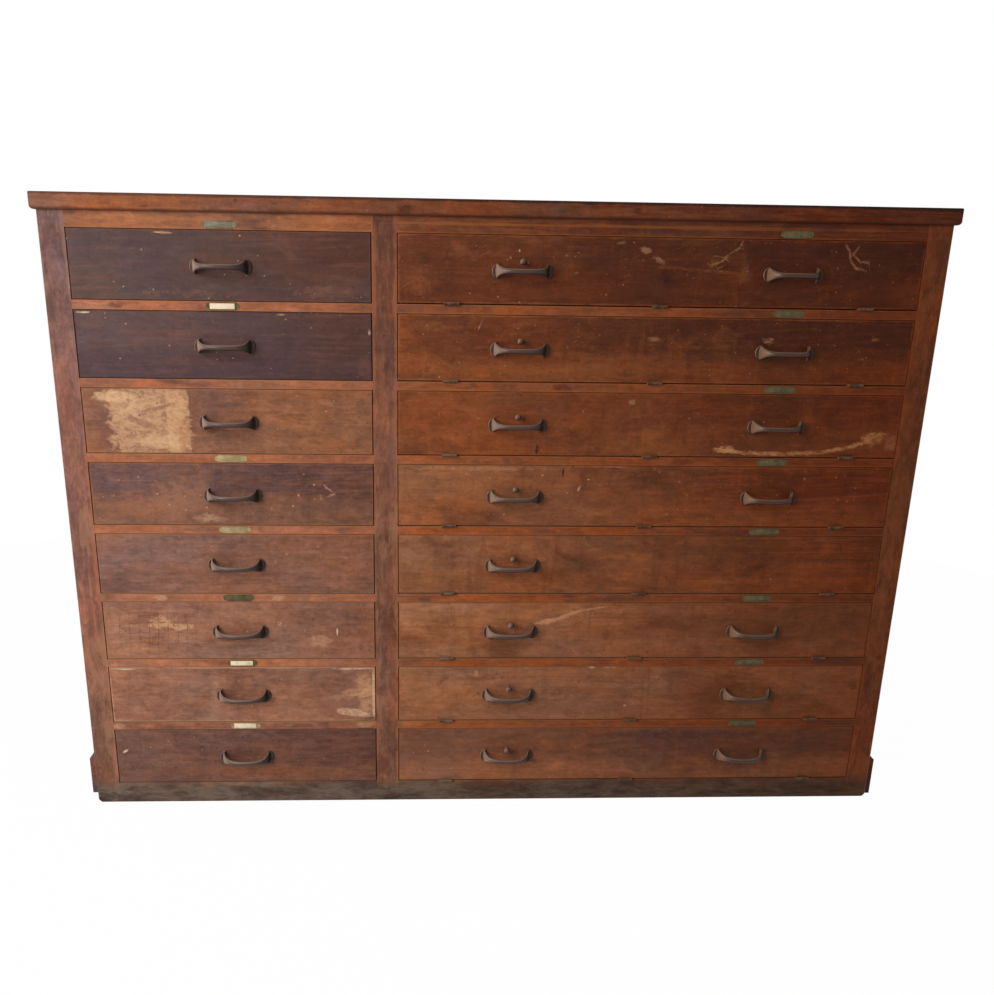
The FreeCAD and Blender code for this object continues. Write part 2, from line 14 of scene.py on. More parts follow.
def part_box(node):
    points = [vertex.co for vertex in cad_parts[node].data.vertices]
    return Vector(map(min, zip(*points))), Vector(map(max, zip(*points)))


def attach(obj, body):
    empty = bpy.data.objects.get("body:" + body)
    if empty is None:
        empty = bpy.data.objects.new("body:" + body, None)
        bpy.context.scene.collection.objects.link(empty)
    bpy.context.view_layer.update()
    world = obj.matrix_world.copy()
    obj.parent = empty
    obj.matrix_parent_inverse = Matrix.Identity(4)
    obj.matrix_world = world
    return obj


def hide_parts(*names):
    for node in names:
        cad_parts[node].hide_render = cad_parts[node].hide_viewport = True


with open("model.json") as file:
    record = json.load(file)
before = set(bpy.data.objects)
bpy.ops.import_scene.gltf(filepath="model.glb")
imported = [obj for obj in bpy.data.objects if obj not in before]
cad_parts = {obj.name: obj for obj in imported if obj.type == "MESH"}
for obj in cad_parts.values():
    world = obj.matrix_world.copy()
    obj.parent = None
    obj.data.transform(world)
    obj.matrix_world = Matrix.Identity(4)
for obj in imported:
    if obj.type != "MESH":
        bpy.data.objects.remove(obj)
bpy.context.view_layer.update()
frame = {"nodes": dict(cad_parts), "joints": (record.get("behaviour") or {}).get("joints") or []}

# ---------------------------------------------------------------- camera
# An eye at the height of the upper drawers, a little left of the middle. It looks down 16 degrees,
# and its lens is shifted so that the whole front stays in view.

CAMERA_PLACE = Vector((-0.1411, -1.9904, 1.1226))
CAMERA_PITCH = 0.2777
CAMERA_YAW = -0.0413
CAMERA_ROLL = 0.0160
SHIFT_X = 0.0391
SHIFT_Y = 0.0197
SENSOR_WIDTH = 36.0
FOCAL_RATIO = 900 / 994

camera_data = bpy.data.cameras.new("camera")
camera_data.sensor_width = SENSOR_WIDTH
camera_data.lens = SENSOR_WIDTH * FOCAL_RATIO
camera_data.shift_x = SHIFT_X
camera_data.shift_y = SHIFT_Y
camera = bpy.data.objects.new("camera", camera_data)
bpy.context.scene.collection.objects.link(camera)
level = Matrix(((1, 0, 0), (0, 0, -1), (0, 1, 0)))
turn = Matrix.Rotation(CAMERA_ROLL, 3, "Z") @ Matrix.Rotation(CAMERA_PITCH, 3, "X")
turn = turn @ Matrix.Rotation(CAMERA_YAW, 3, "Y")
facing = (Matrix.Diagonal((1, -1, -1)) @ turn @ level).transposed()
camera.matrix_world = Matrix.Translation(CAMERA_PLACE) @ facing.to_4x4()
bpy.context.scene.camera = camera
bpy.context.scene.view_settings.view_transform = "Standard"

# ---------------------------------------------------------------- floor and light
# A pale studio floor that fades into a white backdrop, a broad soft light from the upper left and
# a weaker one from the right, as daylight falls into a workshop.

FLOOR_HALF = 14.0
FLOOR_TONE = (0.86, 0.86, 0.86, 1)
FADE_START = 0.9
FADE_END = 2.4
FLOOR_GLOW = 0.985
WHITE = (1, 1, 1, 1)
FILL_LEVEL = 0.22
KEY_POWER = 70.0
SIDE_POWER = 4.0


class Wire:
    """An output of a shader node. Arithmetic on it adds the nodes that do it."""

    def __init__(self, socket):
        self.socket, self.tree = socket, socket.id_data

    def __add__(self, other):
        return maths("ADD", self, other)

    def __sub__(self, other):
        return maths("SUBTRACT", self, other)

    def __rsub__(self, other):
        return maths("SUBTRACT", other, self)

    def __mul__(self, other):
        return maths("MULTIPLY", self, other)

    def __truediv__(self, other):
        return maths("DIVIDE", self, other)

    def __rtruediv__(self, other):
        return maths("DIVIDE", other, self)

    def __pow__(self, other):
        return maths("POWER", self, other)

    def __abs__(self):
        return maths("ABSOLUTE", self)


def connect(socket, value):
    """Links a wire to a socket, or gives the socket a fixed value."""
    if isinstance(value, Wire):
        value.tree.links.new(value.socket, socket)
    else:
        socket.default_value = value


def add_node(tree, kind, inputs=None, **settings):
    made = tree.nodes.new(kind)
    for name, value in settings.items():
        setattr(made, name, value)
    for name, value in (inputs or {}).items():
        connect(made.inputs[name], value)
    return made


def wire(kind, inputs, output=0, **settings):
    """An output of a new node in the tree of the wires that it takes."""
    tree = next(value.tree for value in inputs.values() if isinstance(value, Wire))
    return Wire(add_node(tree, kind, inputs, **settings).outputs[output])


def maths(operation, *values, clamp=False):
    """One arithmetic step on numbers and wires."""
    return wire("ShaderNodeMath", dict(enumerate(values)), operation=operation, use_clamp=clamp)


def between(value, low, high):
    """0 below low, 1 above high and a smooth rise between them."""
    inputs = {0: value, 1: low, 2: high}
    return wire("ShaderNodeMapRange", inputs, interpolation_type="SMOOTHSTEP")


def seen_directly(tree):
    """1 for rays from the camera and for those that mirror or pass through to the backdrop."""
    rays = add_node(tree, "ShaderNodeLightPath").outputs
    camera_ray, glossy_ray = Wire(rays["Is Camera Ray"]), Wire(rays["Is Glossy Ray"])
    return maths("MAXIMUM", maths("MAXIMUM", camera_ray, glossy_ray),
                 Wire(rays["Is Transmission Ray"]))


def make_world():
    world = bpy.data.worlds.new("studio")
    world.use_nodes = True
    tree = world.node_tree
    tree.nodes.clear()
    strength = wire("ShaderNodeMapRange", {0: seen_directly(tree), 3: FILL_LEVEL, 4: 1.0})
    light = wire("ShaderNodeBackground", {"Color": WHITE, "Strength": strength})
    add_node(tree, "ShaderNodeOutputWorld", {"Surface": light})
    bpy.context.scene.world = world


def make_floor():
    bm = bmesh.new()
    bmesh.ops.create_grid(bm, x_segments=2, y_segments=2, size=FLOOR_HALF)
    mesh = bpy.data.meshes.new("floor")
    bm.to_mesh(mesh)
    bm.free()
    floor = bpy.data.objects.new("floor", mesh)
    bpy.context.scene.collection.objects.link(floor)
    paper = bpy.data.materials.new("floor_paper")
    paper.use_nodes = True
    tree = paper.node_tree
    tree.nodes.clear()
    place = Wire(add_node(tree, "ShaderNodeTexCoord").outputs["Object"])
    distance = wire("ShaderNodeVectorMath", {0: place}, "Value", operation="LENGTH")
    fade = maths("MAXIMUM", between(distance, FADE_START, FADE_END), FLOOR_GLOW)
    matt = Wire(add_node(tree, "ShaderNodeBsdfDiffuse", {"Color": FLOOR_TONE}).outputs[0])
    glow = {"Color": WHITE, "Strength": 1.0}
    white = Wire(add_node(tree, "ShaderNodeEmission", glow).outputs[0])
    mixed = wire("ShaderNodeMixShader", {0: fade * seen_directly(tree), 1: matt, 2: white})
    add_node(tree, "ShaderNodeOutputMaterial", {"Surface": mixed})
    mesh.materials.append(paper)


def soft_light(name, place, aim, size, power):
    data = bpy.data.lights.new(name, "AREA")
    data.shape = "RECTANGLE"
    data.size, data.size_y = size
    data.energy = power
    lamp = bpy.data.objects.new(name, data)
    lamp.location = place
    lamp.rotation_euler = (Vector(aim) - Vector(place)).to_track_quat("-Z", "Y").to_euler()
    bpy.context.scene.collection.objects.link(lamp)


make_world()
make_floor()
soft_light("window_left", (-2.1, -2.2, 1.9), (-0.2, -0.2, 0.7), (1.7, 2.0), KEY_POWER)
soft_light("window_right", (2.8, -2.2, 1.8), (0.2, -0.2, 0.6), (1.6, 1.8), SIDE_POWER)

# ---------------------------------------------------------------- case boards
# Sides, partition, back, bottom and runners: planed boards of a close-grained hardwood, glued and
# nailed behind the face frame. The outside ones are under old brown varnish, the inside ones bare.

SEED_STEP = (1.7, 3.1, 2.3)
GROUP_SOCKETS = {"Position": "NodeSocketVector", "Colour": "NodeSocketColor",
                 "Body": "NodeSocketColor", "Dark": "NodeSocketColor", "Pale": "NodeSocketColor"}
WARM_TINT = (1.15, 0.97, 0.78, 1)
COOL_TINT = (0.90, 0.93, 0.98, 1)
FIBRE_BUMP = 0.00025
WOOD_GLOSS = 0.10
# Painted shade: every wood is darkened and reddened towards the right of the cabinet, between these
# X.
WOOD_SHADE_START = -0.45
WOOD_SHADE_END = 0.90
WOOD_RIGHT_SHADE = (0.50, 0.295, 0.165, 1)


def paint(red, green, blue):
    """A colour from its values on the usual 0 to 255 scale."""
    def linear(value):
        share = value / 255
        return share / 12.92 if share <= 0.04045 else ((share + 0.055) / 1.055) ** 2.4
    return (linear(red), linear(green), linear(blue), 1)


CHERRY = paint(118, 66, 42)
UMBER = paint(84, 48, 34)
COGNAC = paint(150, 91, 56)
SAND = paint(198, 152, 120)
BARE = paint(180, 138, 100)
BARE_DARK = paint(146, 106, 72)


def split(vector):
    """The X, Y and Z of a position, or the red, green and blue of a colour."""
    made = add_node(vector.tree, "ShaderNodeSeparateXYZ", {0: vector})
    return [Wire(axis) for axis in made.outputs]


def joined(x, y, z):
    return wire("ShaderNodeCombineXYZ", {0: x, 1: y, 2: z})


def turned(position, order):
    """The position with its axes in another order: grain runs along the one that comes first."""
    axes = dict(zip("xyz", split(position)))
    return joined(*(axes[letter] for letter in order))


def shifted(position, seed):
    """The position moved far along by the seed, so that no two boards look alike."""
    steps = joined(*[seed] * 3) if isinstance(seed, Wire) else (seed,) * 3
    inputs = {0: steps, 1: SEED_STEP, 2: position}
    return wire("ShaderNodeVectorMath", inputs, operation="MULTIPLY_ADD")


def cloud(position, scale, detail=4.0, roughness=0.55, distortion=0.0):
    """Noise whose scale is given for each axis, in features to the metre."""
    spread = wire("ShaderNodeMapping", {"Vector": position, "Scale": scale})
    inputs = {"Vector": spread, "Scale": 1.0, "Detail": detail, "Roughness": roughness}
    return wire("ShaderNodeTexNoise", inputs | {"Distortion": distortion}, "Fac")


def blend(share, first, second, mode="MIX"):
    """The first colour with a share of the second over it."""
    inputs = {0: share, 6: first, 7: second}
    return wire("ShaderNodeMix", inputs, 2, data_type="RGBA", blend_type=mode)


def tinted(colour, tint):
    return blend(1.0, colour, tint, "MULTIPLY")


def marked(colour, marks):
    """The colour with a share of each tone laid over it where a value nears the second limit."""
    for value, low, high, share, tone in marks:
        colour = blend(between(value, low, high) * share, colour, tone)
    return colour


def new_group(name, inputs, outputs):
    """An empty shader group, the wires that it is given and the sockets that it fills."""
    group = bpy.data.node_groups.new(name, "ShaderNodeTree")
    for side, labels in (("INPUT", inputs), ("OUTPUT", outputs)):
        for label in labels.split():
            kind = GROUP_SOCKETS.get(label, "NodeSocketFloat")
            group.interface.new_socket(label, in_out=side, socket_type=kind)
    start = group.nodes.new("NodeGroupInput").outputs
    given = [Wire(start[label]) for label in inputs.split()]
    return group, given, group.nodes.new("NodeGroupOutput").inputs


def use_group(group, *inputs):
    """The outputs of a shader group, given its inputs in their order."""
    made = add_node(inputs[0].tree, "ShaderNodeGroup", dict(enumerate(inputs)), node_tree=group)
    return [Wire(output) for output in made.outputs]


def wood_group():
    """The wood itself, grain along X: soft growth bands, fibres, pores and a mottled varnish."""
    group, given, result = new_group(
        "old_varnished_wood", "Position Seed Body Dark Pale Mottle Figure Contrast",
        "Colour Height Grime")
    position, seed, body, dark, pale, mottled, figure, contrast = given
    place = shifted(position, seed)
    bands = cloud(place, (1.3, 20, 20), 5.0, 0.55, 0.6)
    fibres = cloud(place, (26, 620, 620), 3.0, 0.65)
    streaks = cloud(place, (8, 95, 95), 6.0, 0.74, 0.6)
    mottle = cloud(place, (5.0, 8, 8), 9.0, 0.66, 0.3)
    smears = cloud(place, (30, 5, 5), 5.0, 0.68, 0.5)
    blotch = cloud(place, (26, 60, 60), 8.0, 0.72, 0.7)
    scuffs = cloud(place, (48, 66, 66), 9.0, 0.74, 1.4)
    grit = cloud(place, (150, 190, 190), 3.0, 0.6, 0.8)
    grime = between(mottle, 0.46, 0.70) * mottled
    body = blend(between(maths("SINE", bands * 46.0), -0.2, 1.0) * figure, body, pale)
    body = blend(grime, body, dark)
    body = marked(body, ((mottle, 0.46, 0.30, mottled * 0.55, pale),
                         (smears, 0.52, 0.72, mottled * 0.45, dark),
                         (smears, 0.46, 0.30, mottled * 0.30, pale)))
    warmth = between(cloud(place, (4.0, 9, 9), 5.0, 0.6, 0.4), 0.36, 0.64)
    body = blend(mottled, body, tinted(body, blend(warmth, COOL_TINT, WARM_TINT)))
    shade = (streaks * 0.56 + 0.72) * (blotch * 1.10 + 0.45) * (fibres * 0.24 + 0.88)
    shade = (shade * (scuffs * 0.60 + 0.70)) ** contrast
    colour = marked(tinted(body, shade), ((grit, 0.66, 0.74, mottled * 0.7, dark),
                                          (scuffs, 0.57, 0.70, mottled * 0.35, pale),
                                          (grit, 0.33, 0.27, mottled * 0.6, pale)))
    connect(result["Colour"], colour)
    connect(result["Height"], fibres * 0.5 + streaks * 0.6)
    connect(result["Grime"], grime)
    return group


WOOD = wood_group()


def coordinates(tree, kind):
    return Wire(add_node(tree, "ShaderNodeTexCoord").outputs[kind])


def start_material(name):
    """A material, its Principled shader and the place of a point in the cabinet."""
    made = bpy.data.materials.new(name)
    made.use_nodes = True
    tree = made.node_tree
    return made, tree.nodes["Principled BSDF"], coordinates(tree, "Object")


def finish(shader, colour, roughness, height, bump, strength=0.8, gloss=0.5):
    """Gives a shader its colour, roughness and gloss, and a bump that is so many metres high."""
    connect(shader.inputs["Base Color"], colour)
    connect(shader.inputs["Roughness"], roughness)
    relief = {"Height": height, "Distance": bump, "Strength": strength}
    connect(shader.inputs["Normal"], wire("ShaderNodeBump", relief))
    shader.inputs["Specular IOR Level"].default_value = gloss


def finish_wood(shader, colour, height, roughness):
    """Painted shade: the varnish is made deeper and redder towards the right end of the cabinet."""
    across = split(coordinates(colour.tree, "Object"))[0]
    # Painted shade that grows towards the right end, away from the light on the left.
    right_shade = wire("ShaderNodeMapRange", {0: across, 1: WOOD_SHADE_START, 2: WOOD_SHADE_END})
    colour = blend(right_shade, colour, tinted(colour, WOOD_RIGHT_SHADE))
    finish(shader, colour, roughness, height, FIBRE_BUMP, gloss=WOOD_GLOSS)


def board_material(name, seed, body, dark, pale, grain, mottle=0.8, figure=0.35, contrast=1.3,
                   dulling=0.15, roughness=0.52):
    made, shader, place = start_material(name)
    colour, height, grime = use_group(WOOD, turned(place, grain), seed, body, dark, pale, mottle,
                                      figure, contrast)
    finish_wood(shader, colour, height, grime * dulling + roughness)
    return made


def dress(material, *nodes):
    """Gives pieces of the frame their finish."""
    for node in nodes:
        slots = frame["nodes"][node].data.materials
        slots.clear()
        slots.append(material)


dress(board_material("side_varnish", 3.0, CHERRY, UMBER, COGNAC, "zyx"), "side_left", "side_right")
dress(board_material("back_boards_wood", 5.0, paint(158, 116, 80), paint(116, 80, 54), SAND, "zyx",
                     mottle=0.5, roughness=0.66), "back_boards")
dress(board_material("bare_case_wood", 7.0, BARE, BARE_DARK, SAND, "xyz", mottle=0.6, figure=0.5,
                     roughness=0.68), "centre_partition", "bottom_boards", "drawer_runners")

# ---------------------------------------------------------------- top board
# One long planed plank that lies over the case. Its front edge shows amber wood under worn varnish,
# with a nearly black upper arris and a few burns and knots; the top is mottled brown and scratched.

COCOA = paint(114, 78, 66)
SIENNA = paint(150, 98, 66)
FAWN = paint(154, 108, 86)
PITCH = paint(38, 26, 22)
TOP_LOW, TOP_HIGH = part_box("cabinet_top")
TOP_SEED = 11.0
ARRIS_DEPTH = 0.0050
USUAL_PLACE = (1.2, 0.8, 0.5, 0, 2)
TOP_SPOTS = ((360, 20, 4, 4), (660, 12, 16, 11), (430, 16, 8, 4), (1080, 14, 10, 8),
             (1340, 18, 6, 3), (200, 8, 12, 3))


def rotated(position, angle):
    inputs = {"Vector": position, "Angle": angle}
    return wire("ShaderNodeVectorRotate", inputs, rotation_type="Y_AXIS")


def place_group():
    """A mask over a rounded place on a board, centred at X and Z, with a ragged or a soft rim."""
    group, given, result = new_group(
        "worn_place", "Position X Z Width Height Tilt Ragged Soft Square Seed", "Mask")
    position, x, z, width, height, tilt, ragged, soft, square, seed = given
    from_middle = {0: position, 1: joined(x, 0.0, z)}
    away = wire("ShaderNodeVectorMath", from_middle, operation="SUBTRACT")
    along, _, up = split(rotated(away, tilt))
    reach = (abs(along / width) ** square + abs(up / height) ** square) ** (1.0 / square)
    place = shifted(position, seed)
    torn = (cloud(place, (42, 60, 60), 6.0, 0.62, 0.8) - 0.5) * ragged
    fray = maths("MINIMUM", 0.011 / height, 1.8)
    torn = (cloud(place, (90, 320, 320), 4.0, 0.7) - 0.5) * fray + torn
    mask = maths("DIVIDE", 1.0 - reach + torn, maths("MAXIMUM", soft, 0.01), clamp=True)
    film = between(cloud(place, (60, 95, 95), 7.0, 0.72, 0.8), 0.36, 0.58)
    connect(result["Mask"], mask * (film * 0.70 + 0.30))
    return group


def scratch_group():
    """Hairline scratches that run at a tilt, in broken patches over the board."""
    group, (position, tilt, amount, seed), result = new_group(
        "scratches", "Position Tilt Amount Seed", "Mask")
    place = shifted(rotated(position, tilt), seed)
    thin = between(abs(cloud(place, (9, 120, 120), 2.0, 0.5) - 0.52), 0.009, 0.001)
    where = between(cloud(place, (13, 30, 30), 3.0, 0.6), 0.52, 0.64)
    connect(result["Mask"], maths("MULTIPLY", thin * where, amount, clamp=True))
    return group


def fleck_group():
    """Small spots of old paint or bare wood, scattered thinly."""
    group, (position, scale, amount, seed), result = new_group(
        "flecks", "Position Scale Amount Seed", "Mask")
    place = shifted(position, seed)
    cells = add_node(group, "ShaderNodeTexVoronoi", {"Vector": place, "Scale": scale}).outputs
    chance, girth, weight = split(Wire(cells["Color"]))
    crowded = between(cloud(place, (7, 12, 12), 3.0), 0.40, 0.62)
    chosen = maths("LESS_THAN", chance, amount * (crowded * 1.8 + 0.2))
    radius = girth ** 4.0 * 0.20 + 0.03
    ragged = cloud(place, (330, 520, 520), 3.0, 0.7) * 0.44 - 0.20
    dot = between(Wire(cells["Distance"]) + ragged, radius + 0.04, radius - 0.02)
    connect(result["Mask"], chosen * (dot * (weight * 0.6 + 0.4)))
    return group


PLACE = place_group()
SCRATCH = scratch_group()
FLECK = fleck_group()


def scratches(position, tilt, amount, seed):
    return use_group(SCRATCH, position, tilt, amount, seed)[0]


def flecks(position, scale, amount, seed):
    return use_group(FLECK, position, scale, amount, seed)[0]


def paint_places(position, colour, places):
    """Lays worn, stained or scraped places over the colour of a board.

    A place is the X and Z of its middle and half its width and height, in millimetres, and its
    tone. Raggedness, strength, softness, tilt in degrees and squareness follow where they aren't
    usual.
    """
    for number, place in enumerate(places):
        tone, ragged, strength, soft, tilt, square = place[4:] + USUAL_PLACE[len(place) - 5:]
        x, z, width, height = (length * 0.001 for length in place[:4])
        mask = use_group(PLACE, position, x, z, width, height, -math.radians(tilt), ragged, soft,
                         square, number * 1.3 + x)[0]
        colour = blend(mask * strength, colour, tone)
    return colour


def from_corner(place, corner):
    """The place measured from a corner of its board."""
    return wire("ShaderNodeMapping", {"Vector": place, "Location": -corner})


def faced(place):
    """How far a point faces along X, Y and Z."""
    return split(coordinates(place.tree, "Normal"))


def top_material():
    made, shader, place = start_material("top_varnish")
    local = from_corner(place, TOP_LOW)
    x, _, z = split(local)
    size = TOP_HIGH - TOP_LOW
    drift = cloud(local, (2.2, 6, 6), 3.0)
    along = between(drift * 0.7 + x, 0.5, size.x)
    body = blend(along, paint(146, 86, 52), paint(110, 58, 34))
    body = blend(between(drift * 0.10 + x, 0.17, 0.05), body, paint(124, 84, 68))
    colour, height, _ = use_group(WOOD, local, TOP_SEED, body, COCOA, SIENNA, 0.9, 0.4, 1.4)
    colour = paint_places(local, colour, [spot + (UMBER, 1.1, 0.75) for spot in TOP_SPOTS])
    colour = blend(flecks(local, 58.0, 0.50, TOP_SEED + 1), colour, UMBER)
    colour = blend(flecks(local, 120.0, 0.30, TOP_SEED + 2), colour, SIENNA)
    chips = cloud(local, (26, 60, 60), 4.0, 0.65)
    reach = chips * 0.010 - 0.003
    flat = between(faced(place)[2], 0.5, 0.9)
    spilt = between(cloud(local, (5, 9, 9), 7.0, 0.64, 0.8), 0.40, 0.66)
    stained = wire("ShaderNodeMix", {0: flat, 2: 0.9, 3: spilt * 0.40 + 0.35})
    arris = between(size.z - z - reach, ARRIS_DEPTH, 0.0005)
    colour = blend(arris * stained, colour, blend(along, UMBER, PITCH))
    colour = blend(scratches(turned(local, "xzy"), 0.4, 0.8, TOP_SEED + 1) * flat, colour, FAWN)
    # Painted shade: a dark band along the foot of the board's edge.
    colour = blend(between(z - reach, 0.004, 0.0) * 0.6, colour, UMBER)
    finish_wood(shader, colour, height, chips * 0.25 + 0.36)
    return made


dress(top_material(), "cabinet_top")

# ---------------------------------------------------------------- face frame
# Three stiles and two columns of rails, tenoned together. The stiles have lost varnish along their
# arrises, the rails are the brightest wood of the front, and the base is grey with floor dirt.

WALNUT = paint(84, 56, 50)
CLAY = paint(134, 93, 74)
BRICK = paint(176, 108, 76)
AMBER = paint(170, 106, 62)
RUST = paint(164, 94, 54)
STILE_LOW, STILE_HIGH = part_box("front_stiles")
RAIL_LOW, RAIL_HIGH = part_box("front_rails")
ROWS = 8
BASE_RAIL = 0.046
MID_RAIL = 0.017
ROW_PITCH = 0.1425
OPENING = ROW_PITCH - MID_RAIL
STILE_WIDTH = RAIL_LOW.x - STILE_LOW.x
CENTRE_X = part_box("centre_partition")[0].lerp(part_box("centre_partition")[1], 0.5).x
CENTRE_HALF = 0.023
# Where the rails have chips: the X from their left end in millimetres, the row above, half the
# width and the tone.
RAIL_CHIPS = (
    (118, 5, 16, SAND), (350, 5, 14, SAND), (400, 5, 20, FAWN), (60, 6, 30, FAWN),
    (10, 7, 14, SAND), (480, 4, 16, COCOA), (230, 2, 24, COCOA), (80, 1, 20, UMBER),
    (520, 7, 20, SAND), (900, 2, 20, UMBER), (1150, 3, 24, CHERRY), (980, 6, 20, AMBER),
)


def floor_dirt(colour, place, reach):
    """Grey dirt that has crept up from the floor."""
    ragged = cloud(place, (14, 14, 14), 5.0, 0.6) * 0.05 - 0.025
    share = between(split(place)[2] + ragged, reach, reach * 0.35)
    grit = between(cloud(place, (12, 30, 40), 9.0, 0.78, 0.3), 0.36, 0.66)
    return blend(share * 0.90, colour, blend(grit, paint(56, 48, 44), paint(116, 104, 92)))


def stile_material():
    made, shader, place = start_material("stile_varnish")
    x, _, z = split(place)
    standing = turned(place, "zyx")
    right = between(x, CENTRE_X + 0.2, CENTRE_X + 0.4)
    middle = between(x, CENTRE_X - 0.4, CENTRE_X - 0.2)
    upper = between(z, 0.70, 1.05)
    body = blend(upper, paint(138, 92, 80), paint(118, 88, 86))
    body = blend(between(z, 0.45, 0.10), body, CLAY)
    body = blend(middle, body, blend(upper, CLAY, paint(116, 76, 60)))
    body = blend(right, body, paint(148, 98, 70))
    dark = blend(right, COCOA, paint(104, 74, 62))
    dark = blend(upper, dark, blend(right, WALNUT, paint(100, 74, 66)))
    dark = blend(middle, dark, paint(92, 60, 50))
    pale = blend(upper, BRICK, paint(150, 112, 98))
    pale = blend(right, blend(middle, pale, BRICK), AMBER)
    colour, height, grime = use_group(WOOD, standing, 2.0, body, dark, pale, 0.75, 0.25, 1.6)
    near = abs(abs(x - CENTRE_X) - CENTRE_HALF)
    for arris in (STILE_LOW.x + STILE_WIDTH, STILE_HIGH.x - STILE_WIDTH):
        near = maths("MINIMUM", near, abs(x - arris))
    ragged = cloud(standing, (16, 50, 50), 5.0, 0.6) * 0.030 - 0.011
    peeled = cloud(shifted(standing, 3.0), (9, 34, 34), 7.0, 0.66, 0.6)
    peeled = peeled + between(z, 0.85, 0.55) * 0.10
    grimed = cloud(shifted(standing, 5.0), (14, 40, 40), 8.0, 0.70, 0.8)
    bared = blend(right, paint(178, 130, 98), paint(164, 122, 94))
    colour = marked(colour, ((near - ragged, 0.004, -0.002, 0.5, pale),
                             (peeled, 0.56, 0.66, 0.36, bared), (grimed, 0.50, 0.62, 0.5, dark)))
    colour = blend(scratches(place, 1.2, 0.5, 4.0), colour, UMBER)
    colour = blend(flecks(place, 62.0, 0.28, 6.0) * 0.8, colour, UMBER)
    colour = floor_dirt(colour, place, 0.062)
    finish_wood(shader, colour, height, grime * 0.18 + 0.46)
    return made


def rail_material():
    made, shader, place = start_material("rail_varnish")
    x, _, z = split(place)
    right = between(x, CENTRE_X - 0.10, CENTRE_X + 0.10)
    body = marked(blend(right, paint(166, 106, 80), RUST), (
        (x, CENTRE_X + 0.15, RAIL_HIGH.x, 0.7, CHERRY),
        (z, 0.75, 0.35, 1.0 - right, paint(172, 116, 92)),
        (z, RAIL_HIGH.z - 0.045, RAIL_HIGH.z - 0.030, 0.75, blend(right, SIENNA, UMBER))))
    colour, height, grime = use_group(WOOD, place, 13.0, body, COCOA, SIENNA, 0.85, 0.3, 1.5)
    rise = maths("WRAP", z - (BASE_RAIL + OPENING), ROW_PITCH, 0.0)
    edge = maths("MINIMUM", rise, abs(MID_RAIL - rise))
    drift = cloud(place, (10, 40, 40), 4.0, 0.6) * 0.009 - 0.004
    stain = cloud(place, (7, 30, 30), 5.0, 0.6)
    colour = marked(colour, ((edge - drift, 0.0030, 0.0004, 0.5, AMBER),
                             (stain, 0.56, 0.70, 0.6, WALNUT)))
    chips = []
    for along, row, width, tone in RAIL_CHIPS:
        middle = BASE_RAIL + (ROWS - row) * ROW_PITCH - MID_RAIL / 2
        chips.append((RAIL_LOW.x * 1000 + along, middle * 1000, width, MID_RAIL * 420, tone,
                      1.2, 0.7, 0.4))
    colour = paint_places(place, colour, chips)
    colour = blend(flecks(place, 70.0, 0.34, 9.0) * 0.75, colour, UMBER)
    colour = blend(between(faced(place)[2], 0.5, 0.9), colour, BARE)
    colour = floor_dirt(colour, place, 0.075)
    finish_wood(shader, colour, height, grime * 0.18 + 0.44)
    return made


dress(stile_material(), "front_stiles")
dress(rail_material(), "front_rails")

# ---------------------------------------------------------------- skirt boards
# Loose boards nailed along the foot of each side. Their varnish has faded to a pink brown and is
# scuffed by feet.

def skirt_material():
    made, shader, place = start_material("skirt_varnish")
    body = blend(between(split(place)[0], -0.2, 0.2), paint(130, 78, 66), paint(150, 108, 88))
    colour, height, grime = use_group(WOOD, turned(place, "yxz"), 17.0, body, COCOA, FAWN, 0.9,
                                      0.3, 1.5)
    finish_wood(shader, floor_dirt(colour, place, 0.030), height, grime * 0.2 + 0.55)
    return made


dress(skirt_material(), "side_skirts")

# ---------------------------------------------------------------- drawer and tray fronts
# Sixteen hardwood fronts of one pattern, planed and varnished, that have aged apart: each was
# handled, stained and scraped in its own places, measured here from its lower left corner.

SLATE = paint(90, 71, 67)
PLUM = paint(80, 58, 58)
PEACH = paint(212, 160, 118)
BLOND = paint(232, 190, 148)
STRAW = paint(226, 176, 128)
BLUSH = paint(228, 168, 128)
CREAM = paint(226, 200, 168)
CHAFF = paint(220, 178, 134)
RUSSET = paint(138, 80, 50)
TAN = paint(190, 150, 114)
FADED = dict(dark=COCOA, pale=FAWN, edge=FAWN)
REDDISH = dict(dark=paint(100, 60, 40), pale=AMBER, contrast=1.25, mottle=0.85)
FRONT_THICKNESS = 0.022
INNER_FACE = FRONT_THICKNESS - 0.0004
DRAWER_FOOT = 0.0007
DRAWER_PLAY = 0.002
HAND_RISE = 54.5
WIDE_PULL_LEFT = 0.2285
WIDE_PULL_INSET = 0.2435
MISSING_PULL_ROW = 5


def scrape(points, width, tone, strength, ragged):
    """A long scrape through several points, as one place for each of its straight lengths."""
    lengths = []
    for (x0, z0), (x1, z1) in zip(points, points[1:]):
        reach = math.hypot(x1 - x0, z1 - z0) / 2 + width
        tilt = -math.degrees(math.atan2(z1 - z0, x1 - x0))
        lengths.append(((x0 + x1) / 2, (z0 + z1) / 2, reach, width, tone, ragged, strength, 0.5,
                        tilt, 4.0))
    return tuple(lengths)


def scored_lines(position, strength):
    """A patch of lines ruled upright and level with a point, worn away in places."""
    drift = cloud(position, (18, 18, 18), 2.0, 0.5)
    x, _, z = split(position)
    lines = []
    for axis, spacing in ((x, 0.0190), (z, 0.0215)):
        phase = maths("PINGPONG", (drift * (spacing * 0.8) + axis) / spacing, 0.5)
        lines.append(between(phase * spacing, 0.0018, 0.0005))
    kept = between(cloud(position, (40, 40, 40), 4.0, 0.6), 0.34, 0.54)
    where = use_group(PLACE, position, 0.100, 0.062, 0.098, 0.052, 0.0, 0.8, 0.3, 4.0, 3.0)[0]
    return maths("MAXIMUM", *lines) * kept * (where * strength)


